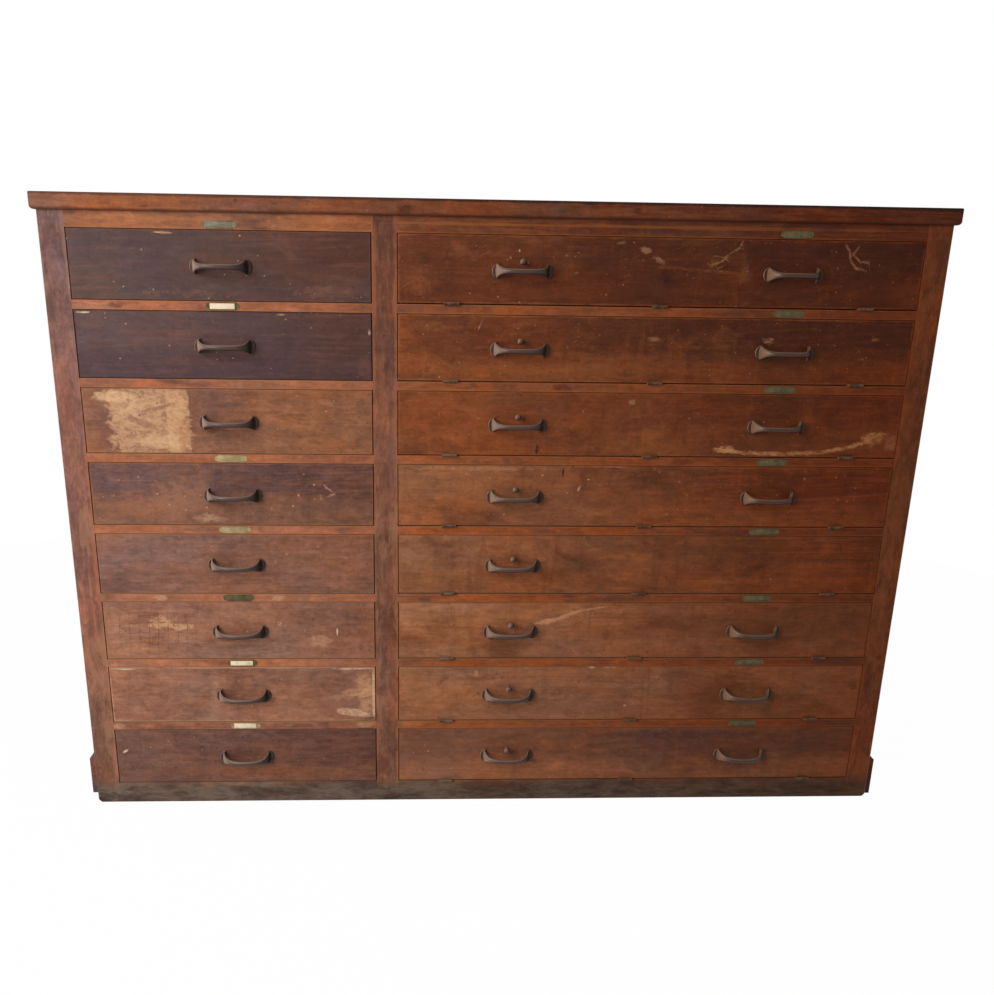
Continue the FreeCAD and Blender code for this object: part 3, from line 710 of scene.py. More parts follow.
def front_material(name, seed, low, high, left, right, lower, places, lower_share=0.6, dark=WALNUT,
                   pale=CLAY, edge=CLAY, mottle=0.7, figure=0.3, contrast=1.5, hatched=0.4,
                   flecked=0.09, scored=0.0):
    """How one front has aged: its tones from left to right and at its foot, and its marks."""
    made, shader, place = start_material(name)
    size = high - low
    local = from_corner(place, low)
    x, y, z = split(local)
    drift = cloud(shifted(local, seed), (4, 12, 12), 5.0, 0.6)
    across = drift * (0.5 * size.x) + (x - 0.25 * size.x)
    body = blend(between(across, 0.05 * size.x, 0.95 * size.x), left, right)
    rise = drift * (0.7 * size.z) + (z - 0.35 * size.z)
    body = blend(between(rise, 0.60 * size.z, 0.25 * size.z) * lower_share, body, lower)
    inside = maths("GREATER_THAN", y, INNER_FACE)
    grain = {0: inside, 4: local, 5: turned(local, "yxz")}
    grain = wire("ShaderNodeMix", grain, 1, data_type="VECTOR")
    wood, height, _ = use_group(WOOD, grain, seed, blend(inside, body, BARE),
                                blend(inside, dark, BARE_DARK), pale, mottle, figure, contrast)
    varnish = paint_places(local, wood, places)
    to_edge = maths("MINIMUM", maths("MINIMUM", x, size.x - x), maths("MINIMUM", z, size.z - z))
    ragged = cloud(shifted(local, seed + 0.5), (24, 60, 60), 5.0, 0.62)
    near = to_edge - (ragged * 0.014 - 0.0065)
    varnish = blend(between(near, 0.0035, 0.0) * 0.55, varnish, edge)
    for tilt, tone, amount, step in ((0.5, pale, 0.7, 1.0), (-0.7, dark, 0.6, 2.0),
                                     (1.35, dark, hatched, 3.0)):
        varnish = blend(scratches(local, tilt, amount, seed + step), varnish, tone)
    for scale, tone, amount in ((80.0, dark, 0.30), (96.0, SAND, flecked), (120.0, pale, 0.20),
                                (130.0, SAND, flecked * 0.8)):
        varnish = blend(flecks(local, scale, amount, seed + scale) * 0.75, varnish, tone)
    if scored:
        varnish = blend(scored_lines(local, scored), varnish, paint(96, 68, 52))
    rough = maths("MAXIMUM", ragged * 0.22 + 0.42, inside * 0.68)
    finish_wood(shader, blend(1.0 - inside, wood, varnish), height, rough)
    return made


# From the top row to the lowest.
SMALL_LOOKS = (
    # The grey-blue of the left ends of the first two fronts is partly their own tone and partly a
    # painted sheen of the light from the left.
    dict(left=SLATE, right=WALNUT, lower=SLATE, contrast=0.8, dark=PLUM, pale=COCOA, edge=COCOA,
         flecked=0.22, places=(
         (30, 20, 50, 6, COCOA, 1.2, 0.6), (170, 118, 22, 3, SAND, 1.2, 0.9),
         (470, 20, 50, 18, COCOA, 1.8, 0.4), (460, 18, 55, 9, CLAY, 7, 0.4),
         (200, 14, 70, 7, CLAY, 7, 0.4), (380, 100, 40, 14, COCOA, 1.8, 0.5, 0.5, 40))),
    dict(left=paint(92, 74, 76), right=paint(86, 60, 56), lower=PLUM, contrast=0.9, dark=PLUM,
         pale=COCOA, edge=PLUM, mottle=0.6, places=(
         (20, 119, 14, 2.2, CREAM, 0.8, 0.9), (375, 119, 12, 2, SAND, 0.8),
         (538, 88, 3, 6, CREAM, 0.8), (530, 20, 18, 30, COCOA, 1.8, 0.6))),
    dict(FADED, left=CLAY, right=SIENNA, lower=SIENNA, places=(
         (122, 62, 78, 70, paint(192, 146, 110), 0.9, 1, 0.12, 0, 5),
         (176, 60, 22, 68, STRAW, 0.3, 0.45, 0.08, 0, 8), (60, 108, 50, 13, CHAFF, 1.6, 0.8, 0.4),
         (100, 78, 62, 30, CHAFF, 2, 0.55, 0.6, -12), (140, 24, 58, 16, CHAFF, 1.8, 0.6),
         (104, 60, 50, 8, FAWN, 2.2, 0.9, 0.5, 22), (140, 86, 40, 7, FAWN, 2.2, 0.9, 0.5, -18),
         (186, 30, 14, 40, AMBER, 1.2, 0.5, 0.5, 0, 3), (240, 80, 36, 50, COCOA, 1.6, 0.35, 0.9))),
    dict(left=paint(116, 84, 78), right=paint(104, 70, 62), lower=CLAY, dark=PLUM, pale=SIENNA,
         edge=SIENNA, lower_share=0.8, places=(
         (110, 36, 64, 36, paint(166, 108, 80), 1.8, 0.85, 0.8),
         (170, 50, 60, 50, paint(158, 108, 82), 1.8, 0.8, 0.7, 0, 3),
         (205, 60, 22, 40, FAWN, 2, 0.5, 0.7, 30), (230, 14, 34, 10, SAND, 2.2, 0.6, 0.6),
         (60, 28, 50, 20, SIENNA, 2, 0.6, 0.8), (455, 74, 14, 3, SAND, 3, 0.6, 0.5, 40),
         (462, 62, 16, 3, SAND, 3, 0.6, 0.5, -35), (440, 58, 12, 2.5, SAND, 3, 0.5, 0.5, 75),
         (360, 35, 50, 14, SIENNA, 2.4, 0.5, 0.7), (480, 24, 50, 16, SIENNA, 2, 0.5, 0.8))),
    dict(FADED, left=paint(138, 100, 88), right=CLAY, lower=paint(142, 98, 80), mottle=0.9, places=(
         (280, 95, 100, 20, COCOA, 1.8, 0.5, 0.8), (400, 30, 60, 12, COCOA, 1.8, 0.5, 0.8))),
    dict(FADED, left=paint(160, 118, 100), right=paint(142, 100, 82), lower=paint(158, 116, 96),
         hatched=0.9, mottle=0.9, scored=0.6, places=(
         (116, 80, 26, 17, PEACH, 2.8, 0.75, 0.4, -12), (152, 70, 30, 8, PEACH, 1.8, 0.8, 0.3),
         (430, 40, 22, 16, SAND, 2.6, 0.6, 0.4), (466, 60, 2.2, 9, CREAM, 0.5, 0.95),
         (350, 76, 6, 6, SAND, 1.5, 0.7), (500, 110, 30, 10, SIENNA, 2, 0.7))),
    dict(FADED, left=paint(162, 116, 96), right=paint(142, 100, 82), lower=paint(160, 116, 96),
         edge=SAND, mottle=0.8, places=(
         (510, 66, 44, 12, PEACH, 1.4, 0.9, 0.3), (476, 56, 40, 7, PEACH, 1.6, 0.7, 0.4, -6),
         (522, 90, 26, 22, PEACH, 1.4, 0.75), (524, 50, 22, 40, PEACH, 1.2, 0.8, 0.5, 0, 3),
         (494, 20, 40, 9, BLOND, 1, 0.85, 0.2, 8), (500, 119.5, 50, 2.4, CREAM, 0.8),
         (538.5, 62, 3, 60, BLOND, 0.6, 0.9, 0.3, 0, 6),
         (470, 50, 60, 44, FAWN, 1.6, 0.7, 0.8, 0, 3), (212, 64, 12, 56, SAND, 0.8, 0.5, 0.8, 0, 3),
         (30, 119.5, 30, 2, CREAM, 0.8), (160, 112, 40, 3, FAWN, 1.6, 0.7))),
    dict(left=paint(122, 88, 78), right=paint(100, 68, 60), lower=CLAY, edge=COCOA,
         places=(
         (18, 74, 9, 2.8, CREAM, 0.8, 0.9, 0.5, -40), (270, 24, 260, 16, RUST, 1.6, 0.4, 0.8))),
)
WIDE_LOOKS = (
    dict(left=paint(108, 60, 38), right=UMBER, lower=paint(106, 58, 36), contrast=1.1, figure=0.1,
         dark=UMBER, pale=COGNAC, edge=RUST, flecked=0.18, places=(
         (500, 50, 20, 20, PITCH, 1.5, 0.6, 0.6), (455, 100, 12, 7, SAND, 2.8, 0.7),
         (480, 84, 14, 6, SAND, 2.8, 0.6, 0.5, 30), (408, 112, 10, 4, TAN, 2.8, 0.5),
         (582, 80, 16, 10, SIENNA, 3, 0.7, 0.5, -50), (642, 60, 12, 18, SIENNA, 3, 0.6, 0.7),
         (560, 66, 140, 4, COGNAC, 2.2, 0.5, 0.5, 4), (222, 96, 2, 4, CREAM, 0.5, 0.95),
         (206, 83, 3, 3, SAND, 0.8, 0.9), (110, 100, 22, 20, COGNAC, 2, 0.6, 0.9),
         (330, 58, 6, 4, SAND, 2, 0.5), (40, 40, 40, 40, RUST, 2, 0.5, 0.9))
         + scrape(((826, 114), (835, 103), (837, 88), (850, 74), (868, 70)), 2.6, SAND, 0.7, 3.4)
         + scrape(((850, 112), (842, 98), (856, 86), (872, 84), (878, 66)), 2.2, SAND, 0.6, 3.4)
         + scrape(((632, 118), (628, 106), (610, 96), (596, 82), (574, 74)), 2.4, TAN, 0.6, 3.4)
         + scrape(((578, 92), (600, 90), (612, 80), (586, 68), (606, 62)), 2, TAN, 0.55, 3.4)),
    dict(REDDISH, left=CHERRY, right=UMBER, lower=COGNAC, figure=0.1, edge=AMBER, places=(
         (270, 22, 250, 18, AMBER, 1.5, 0.5, 0.9), (480, 82, 12, 5, SAND, 1.6, 0.5),
         (153, 104, 1.4, 12, SAND, 1, 0.7, 0.5, 24), (700, 82, 14, 6, SAND, 2, 0.7),
         (905, 86, 8, 4, SAND, 1.6, 0.6), (60, 100, 40, 12, COGNAC, 2, 0.4))),
    dict(REDDISH, left=RUSSET, right=CHERRY, lower=COGNAC, figure=0.12, edge=RUST, places=(
         (636, 15, 20, 8, STRAW, 1, 0.9, 0.4), (928, 39, 28, 16, STRAW, 1.6, 0.9),
         (966, 28, 16, 24, SAND, 1.8, 0.7, 0.7), (448, 106, 8, 6, SAND, 2.4),
         (268, 12, 3, 12, PITCH, 0.6, 0.9), (205, 123, 48, 1.2, CREAM, 0.4))
         + scrape(((618, 14), (680, 8), (755, 6.5), (825, 10), (876, 19), (918, 33)), 4.8, STRAW,
                  0.95, 0.4)),
    dict(REDDISH, left=paint(158, 106, 76), right=CHERRY, lower=paint(148, 94, 64), edge=SIENNA,
         places=(
         (170, 116, 150, 6, SAND, 1.5, 0.55, 0.6), (321.5, 110, 2.6, 14, PITCH, 0.5, 1),
         (354, 76, 2.5, 8, CREAM, 0.8, 0.9, 0.5, 20), (372, 95, 3, 2, CREAM, 0.8),
         (400, 121, 70, 2, SAND, 2.4, 0.7), (480, 60, 60, 3, SIENNA, 1.4, 0.4))),
    dict(REDDISH, left=paint(164, 112, 82), right=paint(124, 78, 54), lower=COGNAC, edge=SIENNA,
         places=(
         (680, 100, 60, 20, CHERRY, 2, 0.4, 0.8), (644, 60.5, 18, 18, UMBER, 1.2, 0.35, 0.7),
         (734, 60.5, 18, 18, UMBER, 1.2, 0.35, 0.7), (757, 31, 1.6, 1.6, CREAM, 0.3, 1))),
    dict(REDDISH, left=paint(176, 124, 92), right=paint(138, 92, 66), lower=paint(166, 114, 84),
         dark=paint(122, 76, 52), pale=SIENNA, edge=SIENNA, places=(
         (560, 65, 2, 2, PITCH, 0.3, 0.9), (290, 30, 3, 12, SIENNA, 2, 0.7))
         + scrape(((284, 77), (325, 85), (352, 98)), 6, BLUSH, 0.9, 0.7)
         + scrape(((352, 98), (374, 105)), 4.5, BLUSH, 0.9, 0.7)
         + scrape(((374, 105), (424, 113.5)), 2.4, BLUSH, 0.8, 0.7)),
    dict(REDDISH, left=paint(166, 118, 90), right=paint(160, 116, 88), lower=paint(160, 112, 84),
         dark=paint(122, 76, 52), pale=SIENNA, edge=AMBER, places=(
         (430, 70, 80, 6, SIENNA, 1.6, 0.6), (402, 121, 6, 2.8, CREAM, 3),
         (446, 121, 18, 2.2, CREAM, 3.6, 0.7), (476, 32, 5, 4, CREAM, 2.4),
         (160, 108, 5, 10, SAND, 2.8, 0.6), (500, 30, 300, 10, SIENNA, 1.6, 0.4, 0.9),
         (960, 80, 12, 16, UMBER, 1.4, 0.6))),
    dict(left=paint(132, 92, 76), right=paint(122, 86, 68), lower=paint(168, 118, 90), dark=COCOA,
         pale=SIENNA, contrast=1.3, mottle=0.85, edge=SIENNA, lower_share=0.9, places=(
         (60, 60, 60, 55, SIENNA, 1.6, 0.45, 0.9), (500, 10, 480, 6, SIENNA, 1.4, 0.6, 0.8),
         (600, 104, 300, 12, PLUM, 1.6, 0.6, 0.8))),
)


def dress_front(node, finish_name, seed, low, high, looks, pulls):
    """Gives a front its look and the dark place that hands have left round each of its pulls."""
    grime = tuple((x * 1000, HAND_RISE, 80, 34, UMBER, 0.9, 0.38, 0.9) for x in pulls)
    looks = dict(looks, places=looks["places"] + grime)
    dress(front_material(finish_name, seed, low, high, **looks), node)


for row in range(1, ROWS + 1):
    low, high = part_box("small_drawer_%d" % row)
    middle = (high.x - low.x) / 2
    low.z += DRAWER_FOOT
    high.z = low.z + OPENING - DRAWER_PLAY
    dress_front("small_drawer_%d" % row, "small_front_varnish_%d" % row, float(row), low, high,
                SMALL_LOOKS[row - 1], [middle])
    low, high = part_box("drop_front_%d" % row)
    pulls = [WIDE_PULL_LEFT]
    if row != MISSING_PULL_ROW:
        pulls.append(high.x - low.x - WIDE_PULL_INSET)
    dress_front("drop_front_%d" % row, "drop_front_varnish_%d" % row, 20.0 + row, low, high,
                WIDE_LOOKS[row - 1], pulls)

# ---------------------------------------------------------------- trays
# Open trays of bare wood behind the drop fronts. They are dovetailed and nailed, and the fixed
# leaves of the hinges are under them.

dress(board_material("tray_wood", 31.0, BARE, BARE_DARK, SAND, "yxz", mottle=0.7, figure=0.5,
                     contrast=1.0, dulling=0.1, roughness=0.66),
      *("wide_tray_%d" % row for row in range(1, ROWS + 1)))

# ---------------------------------------------------------------- bow pulls
# Cast iron, blackened and handled bright: a rounded bow that opens out to a fishtail at each foot,
# on half-oval flanges. Each flange is fixed by a countersunk screw. Faces turned left and up carry
# a painted highlight, those turned right and down painted shade.

FRONT_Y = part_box("drop_front_1")[0].y
PULL_LOW, PULL_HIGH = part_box("small_pull_1")
PULL_LENGTH = PULL_HIGH.x - PULL_LOW.x
PULL_REACH = PULL_HIGH.y - PULL_LOW.y
FLANGE_RISE = (PULL_HIGH.z - PULL_LOW.z) / 2
FLANGE_REACH = 0.0118
FLANGE_THICKNESS = 0.003
FLANGE_RIM = 0.0013
FLANGE_SIDES = 48
FOOT_INSET = 0.0090
BOW_DEPTH = 0.0080
BOW_HEIGHT = 0.0094
FOOT_HEIGHT = 0.0262
FOOT_SPREAD = 6.0
FOOT_THINNING = 0.25
BOW_SQUARENESS = 2.15
BOW_STATIONS = 36
BOW_SIDES = 16
SCREW_RADIUS = 0.0014
SCREW_HEAD = 0.0006
SCREW_SIDES = 16
SHARP_ANGLE = math.radians(38)
QUARTER_TURN = math.radians(90)
IRON_GLOSS = 0.22
IRON_BUMP = 0.00018
RUSTED = paint(60, 37, 28)
# Painted highlight on iron faces turned left and up.
IRON_HIGHLIGHT = paint(168, 140, 122)
# Painted shade on iron faces turned right and down.
SHADED_IRON = paint(38, 27, 22)
# Painted shade: the iron darkens and browns towards the right of the cabinet, between these X.
IRON_RIGHT_SHADE = (0.72, 0.58, 0.44, 1)
IRON_SHADE_START = -0.25
IRON_SHADE_END = 0.40


def iron_material(name, seed, tone, rubbed, rubbed_from=0.35, highlight_tone=IRON_HIGHLIGHT):
    """Blackened iron with a brown bloom, bare where it stands out furthest, with painted light and
    shade.
    """
    made, shader, place = start_material(name)
    x, y, _ = split(place)
    cast = cloud(shifted(place, seed), (700, 700, 700), 4.0, 0.6)
    bloom = cloud(shifted(place, seed + 1), (70, 70, 70), 5.0, 0.65)
    ragged = bloom * 1.1 + ((FRONT_Y - y) / PULL_REACH - 0.55)
    handled = between(ragged, rubbed_from, rubbed_from + 0.55)
    colour = blend(between(bloom, 0.42, 0.60), tone, RUSTED)
    colour = blend(handled, colour, rubbed)
    # Painted highlight: faces turned left and up, where the iron stands out, take the highlight
    # tone.
    across, _, up = faced(place)
    highlight_reach = between(ragged, -0.35, 0.10)
    colour = marked(colour, ((across, -0.25, -0.85, highlight_reach * 0.85, highlight_tone),
                             (up, 0.30, 0.85, highlight_reach * 0.50, highlight_tone)))
    # Painted shade: faces turned right and faces turned down are darkened.
    iron_shade = maths("MAXIMUM", between(across, 0.12, 0.70), between(up, -0.25, -0.85))
    colour = blend(iron_shade * 0.75, colour, SHADED_IRON)
    # Painted shade towards the right of the cabinet.
    colour = blend(between(x, IRON_SHADE_START, IRON_SHADE_END), colour, tinted(colour, IRON_RIGHT_SHADE))
    rough = handled * -0.12 + (cast * 0.16 + 0.26)
    finish(shader, colour, rough, cast, IRON_BUMP, gloss=IRON_GLOSS)
    return made


IRON = iron_material("pull_iron", 1.0, paint(62, 44, 38), paint(84, 63, 56))
RIM_IRON = iron_material("pull_rim_iron", 2.0, paint(92, 70, 58), paint(112, 88, 76))


def bow_station(angle):
    """A point of the bow's middle line in plan and the way it faces. 0 and pi are its feet."""
    span = PULL_LENGTH / 2 - FOOT_INSET
    depth = PULL_REACH - BOW_DEPTH / 2 - FLANGE_THICKNESS / 2
    power = 2 / BOW_SQUARENESS
    across = math.copysign(abs(math.cos(angle)) ** power, math.cos(angle))
    out = max(math.sin(angle), 0.0) ** power
    facing = Vector((math.copysign(abs(across) ** (BOW_SQUARENESS - 1), across) / span,
                     -(out ** (BOW_SQUARENESS - 1)) / depth, 0)).normalized()
    return Vector((across * span, -FLANGE_THICKNESS / 2 - out * depth, 0)), facing


def section_ring(bm, centre, outward, width, height):
    """An oval ring of the given width along outward and height along Z."""
    upward = Vector((0, 0, 1))
    axes = (outward * width / 2, upward * height / 2, outward.cross(upward))
    ring = Matrix([axis.to_4d() for axis in axes] + [centre.to_4d()]).transposed()
    for column in range(3):
        ring[3][column] = 0.0
    made = bmesh.ops.create_circle(bm, segments=BOW_SIDES, radius=1.0, matrix=ring)
    return list({edge for vertex in made["verts"] for edge in vertex.link_edges})


def add_bow(bm):
    rings = []
    for n in range(BOW_STATIONS + 1):
        angle = math.pi * n / BOW_STATIONS
        centre, facing = bow_station(angle)
        spread = abs(math.cos(angle)) ** FOOT_SPREAD
        height = BOW_HEIGHT + (FOOT_HEIGHT - BOW_HEIGHT) * spread
        width = BOW_DEPTH * (1 - FOOT_THINNING * spread)
        rings.append(section_ring(bm, centre, facing, width, height))
    for near, far in zip(rings, rings[1:]):
        bmesh.ops.bridge_loops(bm, edges=near + far)
    for end in (rings[0], rings[-1]):
        bmesh.ops.holes_fill(bm, edges=end, sides=0)


def add_disc(bm, place, radius, thickness, sides, front_radius=None):
    """Adds a round plate that faces to the front and returns its vertices and faces."""
    made = bmesh.ops.create_cone(
        bm, cap_ends=True, segments=sides, radius1=radius, radius2=front_radius or radius,
        depth=thickness, matrix=place @ Matrix.Rotation(QUARTER_TURN, 4, "X"))
    return made["verts"], {face for vertex in made["verts"] for face in vertex.link_faces}


def add_flange(bm, outward):
    """A half oval cut from a round plate, its rim rounded and its screw sunk near its end."""
    centre = Vector((outward * (PULL_LENGTH / 2 - FLANGE_REACH), -FLANGE_THICKNESS / 2, 0))
    place = Matrix.Translation(centre) @ Matrix.Diagonal((FLANGE_REACH / FLANGE_RISE, 1, 1, 1))
    verts, faces = add_disc(bm, place, FLANGE_RISE, FLANGE_THICKNESS, FLANGE_SIDES)
    edges = {edge for face in faces for edge in face.edges}
    cut = bmesh.ops.bisect_plane(bm, geom=list(verts) + list(edges) + list(faces), plane_co=centre,
                                 plane_no=(-outward, 0, 0), clear_outer=True)
    open_edges = [item for item in cut["geom_cut"] if isinstance(item, bmesh.types.BMEdge)]
    bmesh.ops.holes_fill(bm, edges=open_edges, sides=0)
    plate = {vertex for edge in open_edges for vertex in edge.verts}
    plate = {edge for vertex in plate for face in vertex.link_faces for edge in face.edges}
    front = -FLANGE_THICKNESS
    rim = [edge for edge in plate if all(abs(vertex.co.y - front) < 1e-6 for vertex in edge.verts)]
    rounded = bmesh.ops.bevel(bm, geom=rim, offset=FLANGE_RIM, offset_type="OFFSET", segments=3,
                              profile=0.5, affect="EDGES", material=-1)
    for face in rounded["faces"]:
        face.material_index = 1
    spot = Vector((outward * (PULL_LENGTH / 2 - 1.9 * SCREW_RADIUS), front - 0.0002, 0))
    add_disc(bm, Matrix.Translation(spot), SCREW_RADIUS, SCREW_HEAD, SCREW_SIDES,
             front_radius=SCREW_RADIUS * 0.7)


def finish_mesh(name, bm, place, *materials):
    """Turns a bmesh into an object at the origin, its place in its mesh, its sharp edges kept."""
    bmesh.ops.translate(bm, verts=bm.verts, vec=place)
    bmesh.ops.recalc_face_normals(bm, faces=bm.faces)
    for face in bm.faces:
        face.smooth = True
    for edge in bm.edges:
        edge.smooth = edge.calc_face_angle(0.0) < SHARP_ANGLE
    mesh = bpy.data.meshes.new(name)
    bm.to_mesh(mesh)
    bm.free()
    for material in materials:
        mesh.materials.append(material)
    made = bpy.data.objects.new(name, mesh)
    bpy.context.scene.collection.objects.link(made)
    return made


def bow_pull(name, x, z, body):
    bm = bmesh.new()
    add_bow(bm)
    add_flange(bm, 1)
    add_flange(bm, -1)
    made = finish_mesh(name, bm, Vector((x, FRONT_Y, z)), IRON, RIM_IRON)
    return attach(made, body)


for row in range(1, ROWS + 1):
    low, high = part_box("small_pull_%d" % row)
    middle = (low + high) / 2
    small = bow_pull("pull_small_%d" % row, middle.x, middle.z, "small drawer %d" % row)
    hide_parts("small_pull_%d" % row)

# ---------------------------------------------------------------- ironwork of the drop fronts
# Two bow pulls, the moving leaf of each of three butt hinges, and the black catch case with its
# bolt, all of iron and screwed to the front. The fifth front has lost its right pull.

FRONT_ABOVE_RAIL = 0.0021
PULL_ABOVE_RAIL = 0.0615
HINGE_FROM_END = 0.0985
HINGE_LENGTH = 0.028
KNUCKLE_RADIUS = 0.0032
FIXED_RADIUS = KNUCKLE_RADIUS + 0.00004
KNUCKLE_SIDES = 24
KNUCKLE_GAP = 0.0002
MIDDLE_KNUCKLE = 0.0096
LEAF_THICKNESS = 0.0015
LEAF_WIDTH = 0.0198
LEAF_ARRIS = 0.0002
LEAF_GAP = 0.0002
CATCH_WIDTH = 0.034
CATCH_DEPTH = 0.012
CATCH_BELOW_BUTTON = 0.014
CATCH_ARRIS = 0.0012
CHEEK_OVERLAP = 0.0014
ROD_ROOM = 0.0036
ROD_ROOM_DEPTH = 0.0046
BOLT_HALF_WIDTH = 0.006
BOLT_DEPTH = 0.006
BOLT_HEIGHT = 0.002
BOLT_ARRIS = 0.0005
CATCH_SCREW = 0.0022
CATCH_SCREW_ASIDE = 0.012
CATCH_SCREW_INSET = 0.006
CATCH_SCREW_SIDES = 18

# The hinge iron has its own tone of painted highlight.
LEAF_IRON = iron_material("hinge_iron", 4.0, paint(112, 90, 62), paint(128, 104, 74),
                          highlight_tone=paint(132, 108, 80))
CASE_IRON = iron_material("catch_iron", 6.0, paint(44, 40, 38), paint(80, 70, 62))


def add_block(bm, low, high, arris=0.0004):
    """A square block between two corners with its arrises eased."""
    low, high = Vector(low), Vector(high)
    shape = Matrix.Translation((low + high) / 2) @ Matrix.Diagonal(high - low).to_4x4()
    made = bmesh.ops.create_cube(bm, size=1.0, matrix=shape)
    edges = {edge for vertex in made["verts"] for edge in vertex.link_edges}
    bmesh.ops.bevel(bm, geom=list(edges), offset=arris, offset_type="OFFSET", segments=2,
                    profile=0.5, affect="EDGES", material=-1)


def add_knuckle(bm, x0, x1, axis, radius=KNUCKLE_RADIUS):
    """One barrel of a hinge along its axis, with the sunk end of its pin at each end."""
    place = Matrix.Translation(((x0 + x1) / 2, axis.y, axis.z))
    made = bmesh.ops.create_cone(
        bm, cap_ends=True, segments=KNUCKLE_SIDES, radius1=radius, radius2=radius, depth=x1 - x0,
        matrix=place @ Matrix.Rotation(QUARTER_TURN, 4, "Y"))
    faces = {face for vertex in made["verts"] for face in vertex.link_faces}
    for end in [face for face in faces if len(face.verts) > 4]:
        bmesh.ops.inset_region(bm, faces=[end], thickness=radius * 0.45, depth=0.0)
        bmesh.ops.inset_region(bm, faces=[end], thickness=radius * 0.05, depth=-0.0007)


def moving_leaves(row, low, hinges, axis):
    """The leaf under the front at each hinge, with the middle knuckle of the three."""
    bm = bmesh.new()
    crown = low.z + LEAF_THICKNESS
    half, middle = HINGE_LENGTH / 2, MIDDLE_KNUCKLE / 2
    for x in hinges:
        add_knuckle(bm, x - middle, x + middle, axis)
        add_block(bm, (x - half, FRONT_Y + LEAF_GAP, low.z),
                  (x + half, FRONT_Y + LEAF_WIDTH, crown), LEAF_ARRIS)
        add_block(bm, (x - middle, axis.y, low.z), (x + middle, FRONT_Y + 0.001, crown), LEAF_ARRIS)
    return finish_mesh("hinge_leaves_moving_%d" % row, bm, Vector(), LEAF_IRON)


def catch_case(row, x, button_z, inner):
    """The case of a catch on the inner face of its front, with room for the rod, and its bolt."""
    bm = bmesh.new()
    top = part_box("front_irons_%d" % row)[1].z
    foot, crown = button_z - CATCH_BELOW_BUTTON, top - BOLT_HEIGHT
    half = CATCH_WIDTH / 2
    add_block(bm, (x - half, inner + ROD_ROOM_DEPTH, foot), (x + half, inner + CATCH_DEPTH, crown),
              CATCH_ARRIS)
    for near, far, floor in ((-half, -ROD_ROOM, foot), (ROD_ROOM, half, foot),
                             (-half + 0.0005, half - 0.0005, button_z + ROD_ROOM)):
        add_block(bm, (x + near, inner, floor),
                  (x + far, inner + ROD_ROOM_DEPTH + CHEEK_OVERLAP, crown))
    add_block(bm, (x - BOLT_HALF_WIDTH, inner + 0.0002, crown - 0.001),
              (x + BOLT_HALF_WIDTH, inner + BOLT_DEPTH, top), BOLT_ARRIS)
    for side in (-1, 1):
        for z in (foot + CATCH_SCREW_INSET, crown - CATCH_SCREW_INSET):
            spot = Matrix.Translation((x + side * CATCH_SCREW_ASIDE, inner + CATCH_DEPTH, z))
            add_disc(bm, spot, CATCH_SCREW, SCREW_HEAD, CATCH_SCREW_SIDES)
    return finish_mesh("catch_case_%d" % row, bm, Vector(), CASE_IRON)


def fixed_barrels(row, hinges, axis):
    """The two outer knuckles of each hinge, which stay with the tray."""
    bm = bmesh.new()
    for x in hinges:
        for side in (-1, 1):
            ends = (x + side * (MIDDLE_KNUCKLE / 2 + KNUCKLE_GAP), x + side * HINGE_LENGTH / 2)
            add_knuckle(bm, min(ends), max(ends), axis, FIXED_RADIUS)
    return finish_mesh("hinge_barrels_fixed_%d" % row, bm, Vector(), LEAF_IRON)


def wide_ironwork(row):
    body = "drop front %d" % row
    low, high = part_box("drop_front_%d" % row)
    button_low, button_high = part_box("catch_button_%d" % row)
    button = (button_low + button_high) / 2
    pull_z = low.z - FRONT_ABOVE_RAIL + PULL_ABOVE_RAIL
    pieces = [bow_pull("pull_wide_left_%d" % row, button.x, pull_z, body)]
    if row != MISSING_PULL_ROW:
        right = high.x - WIDE_PULL_INSET
        pieces.append(bow_pull("pull_wide_right_%d" % row, right, pull_z, body))
    axis = next(Vector(joint["pos_m"]) for joint in frame["joints"]
                if joint["name"] == "drop_front_%d_hinge" % row)
    hinges = (low.x + HINGE_FROM_END, (low.x + high.x) / 2, high.x - HINGE_FROM_END)
    pieces.append(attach(moving_leaves(row, low, hinges, axis), body))
    pieces.append(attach(catch_case(row, button.x, button.z, high.y), body))
    for piece in pieces:
        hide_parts("front_irons_%d" % row)
    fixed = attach(fixed_barrels(row, hinges, axis), "wide tray %d" % row)


for row in range(1, ROWS + 1):
    wide_ironwork(row)

# ---------------------------------------------------------------- thumb buttons
# A turned iron ball on a waisted neck, worn bright on its face. It sits on the end of the rod that
# works the catch.

BUTTON_STEPS = 40
BUTTON_STAND = 0.0055
WAIST_SHARE = 0.42
FOOT_SHARE = 0.50
BUTTON_PROFILE = ((0.0, -1.0), (0.40, -0.92), (0.76, -0.65), (0.95, -0.31), (1.0, 0.0),
                  (0.93, 0.37), (0.72, 0.69), (0.46, 0.93))
# Like all the iron here, the button has a painted highlight on faces turned left and up and painted
# shade on faces turned right and down.
BUTTON_IRON = iron_material("button_iron", 8.0, paint(88, 62, 50), paint(128, 98, 82), 0.30)


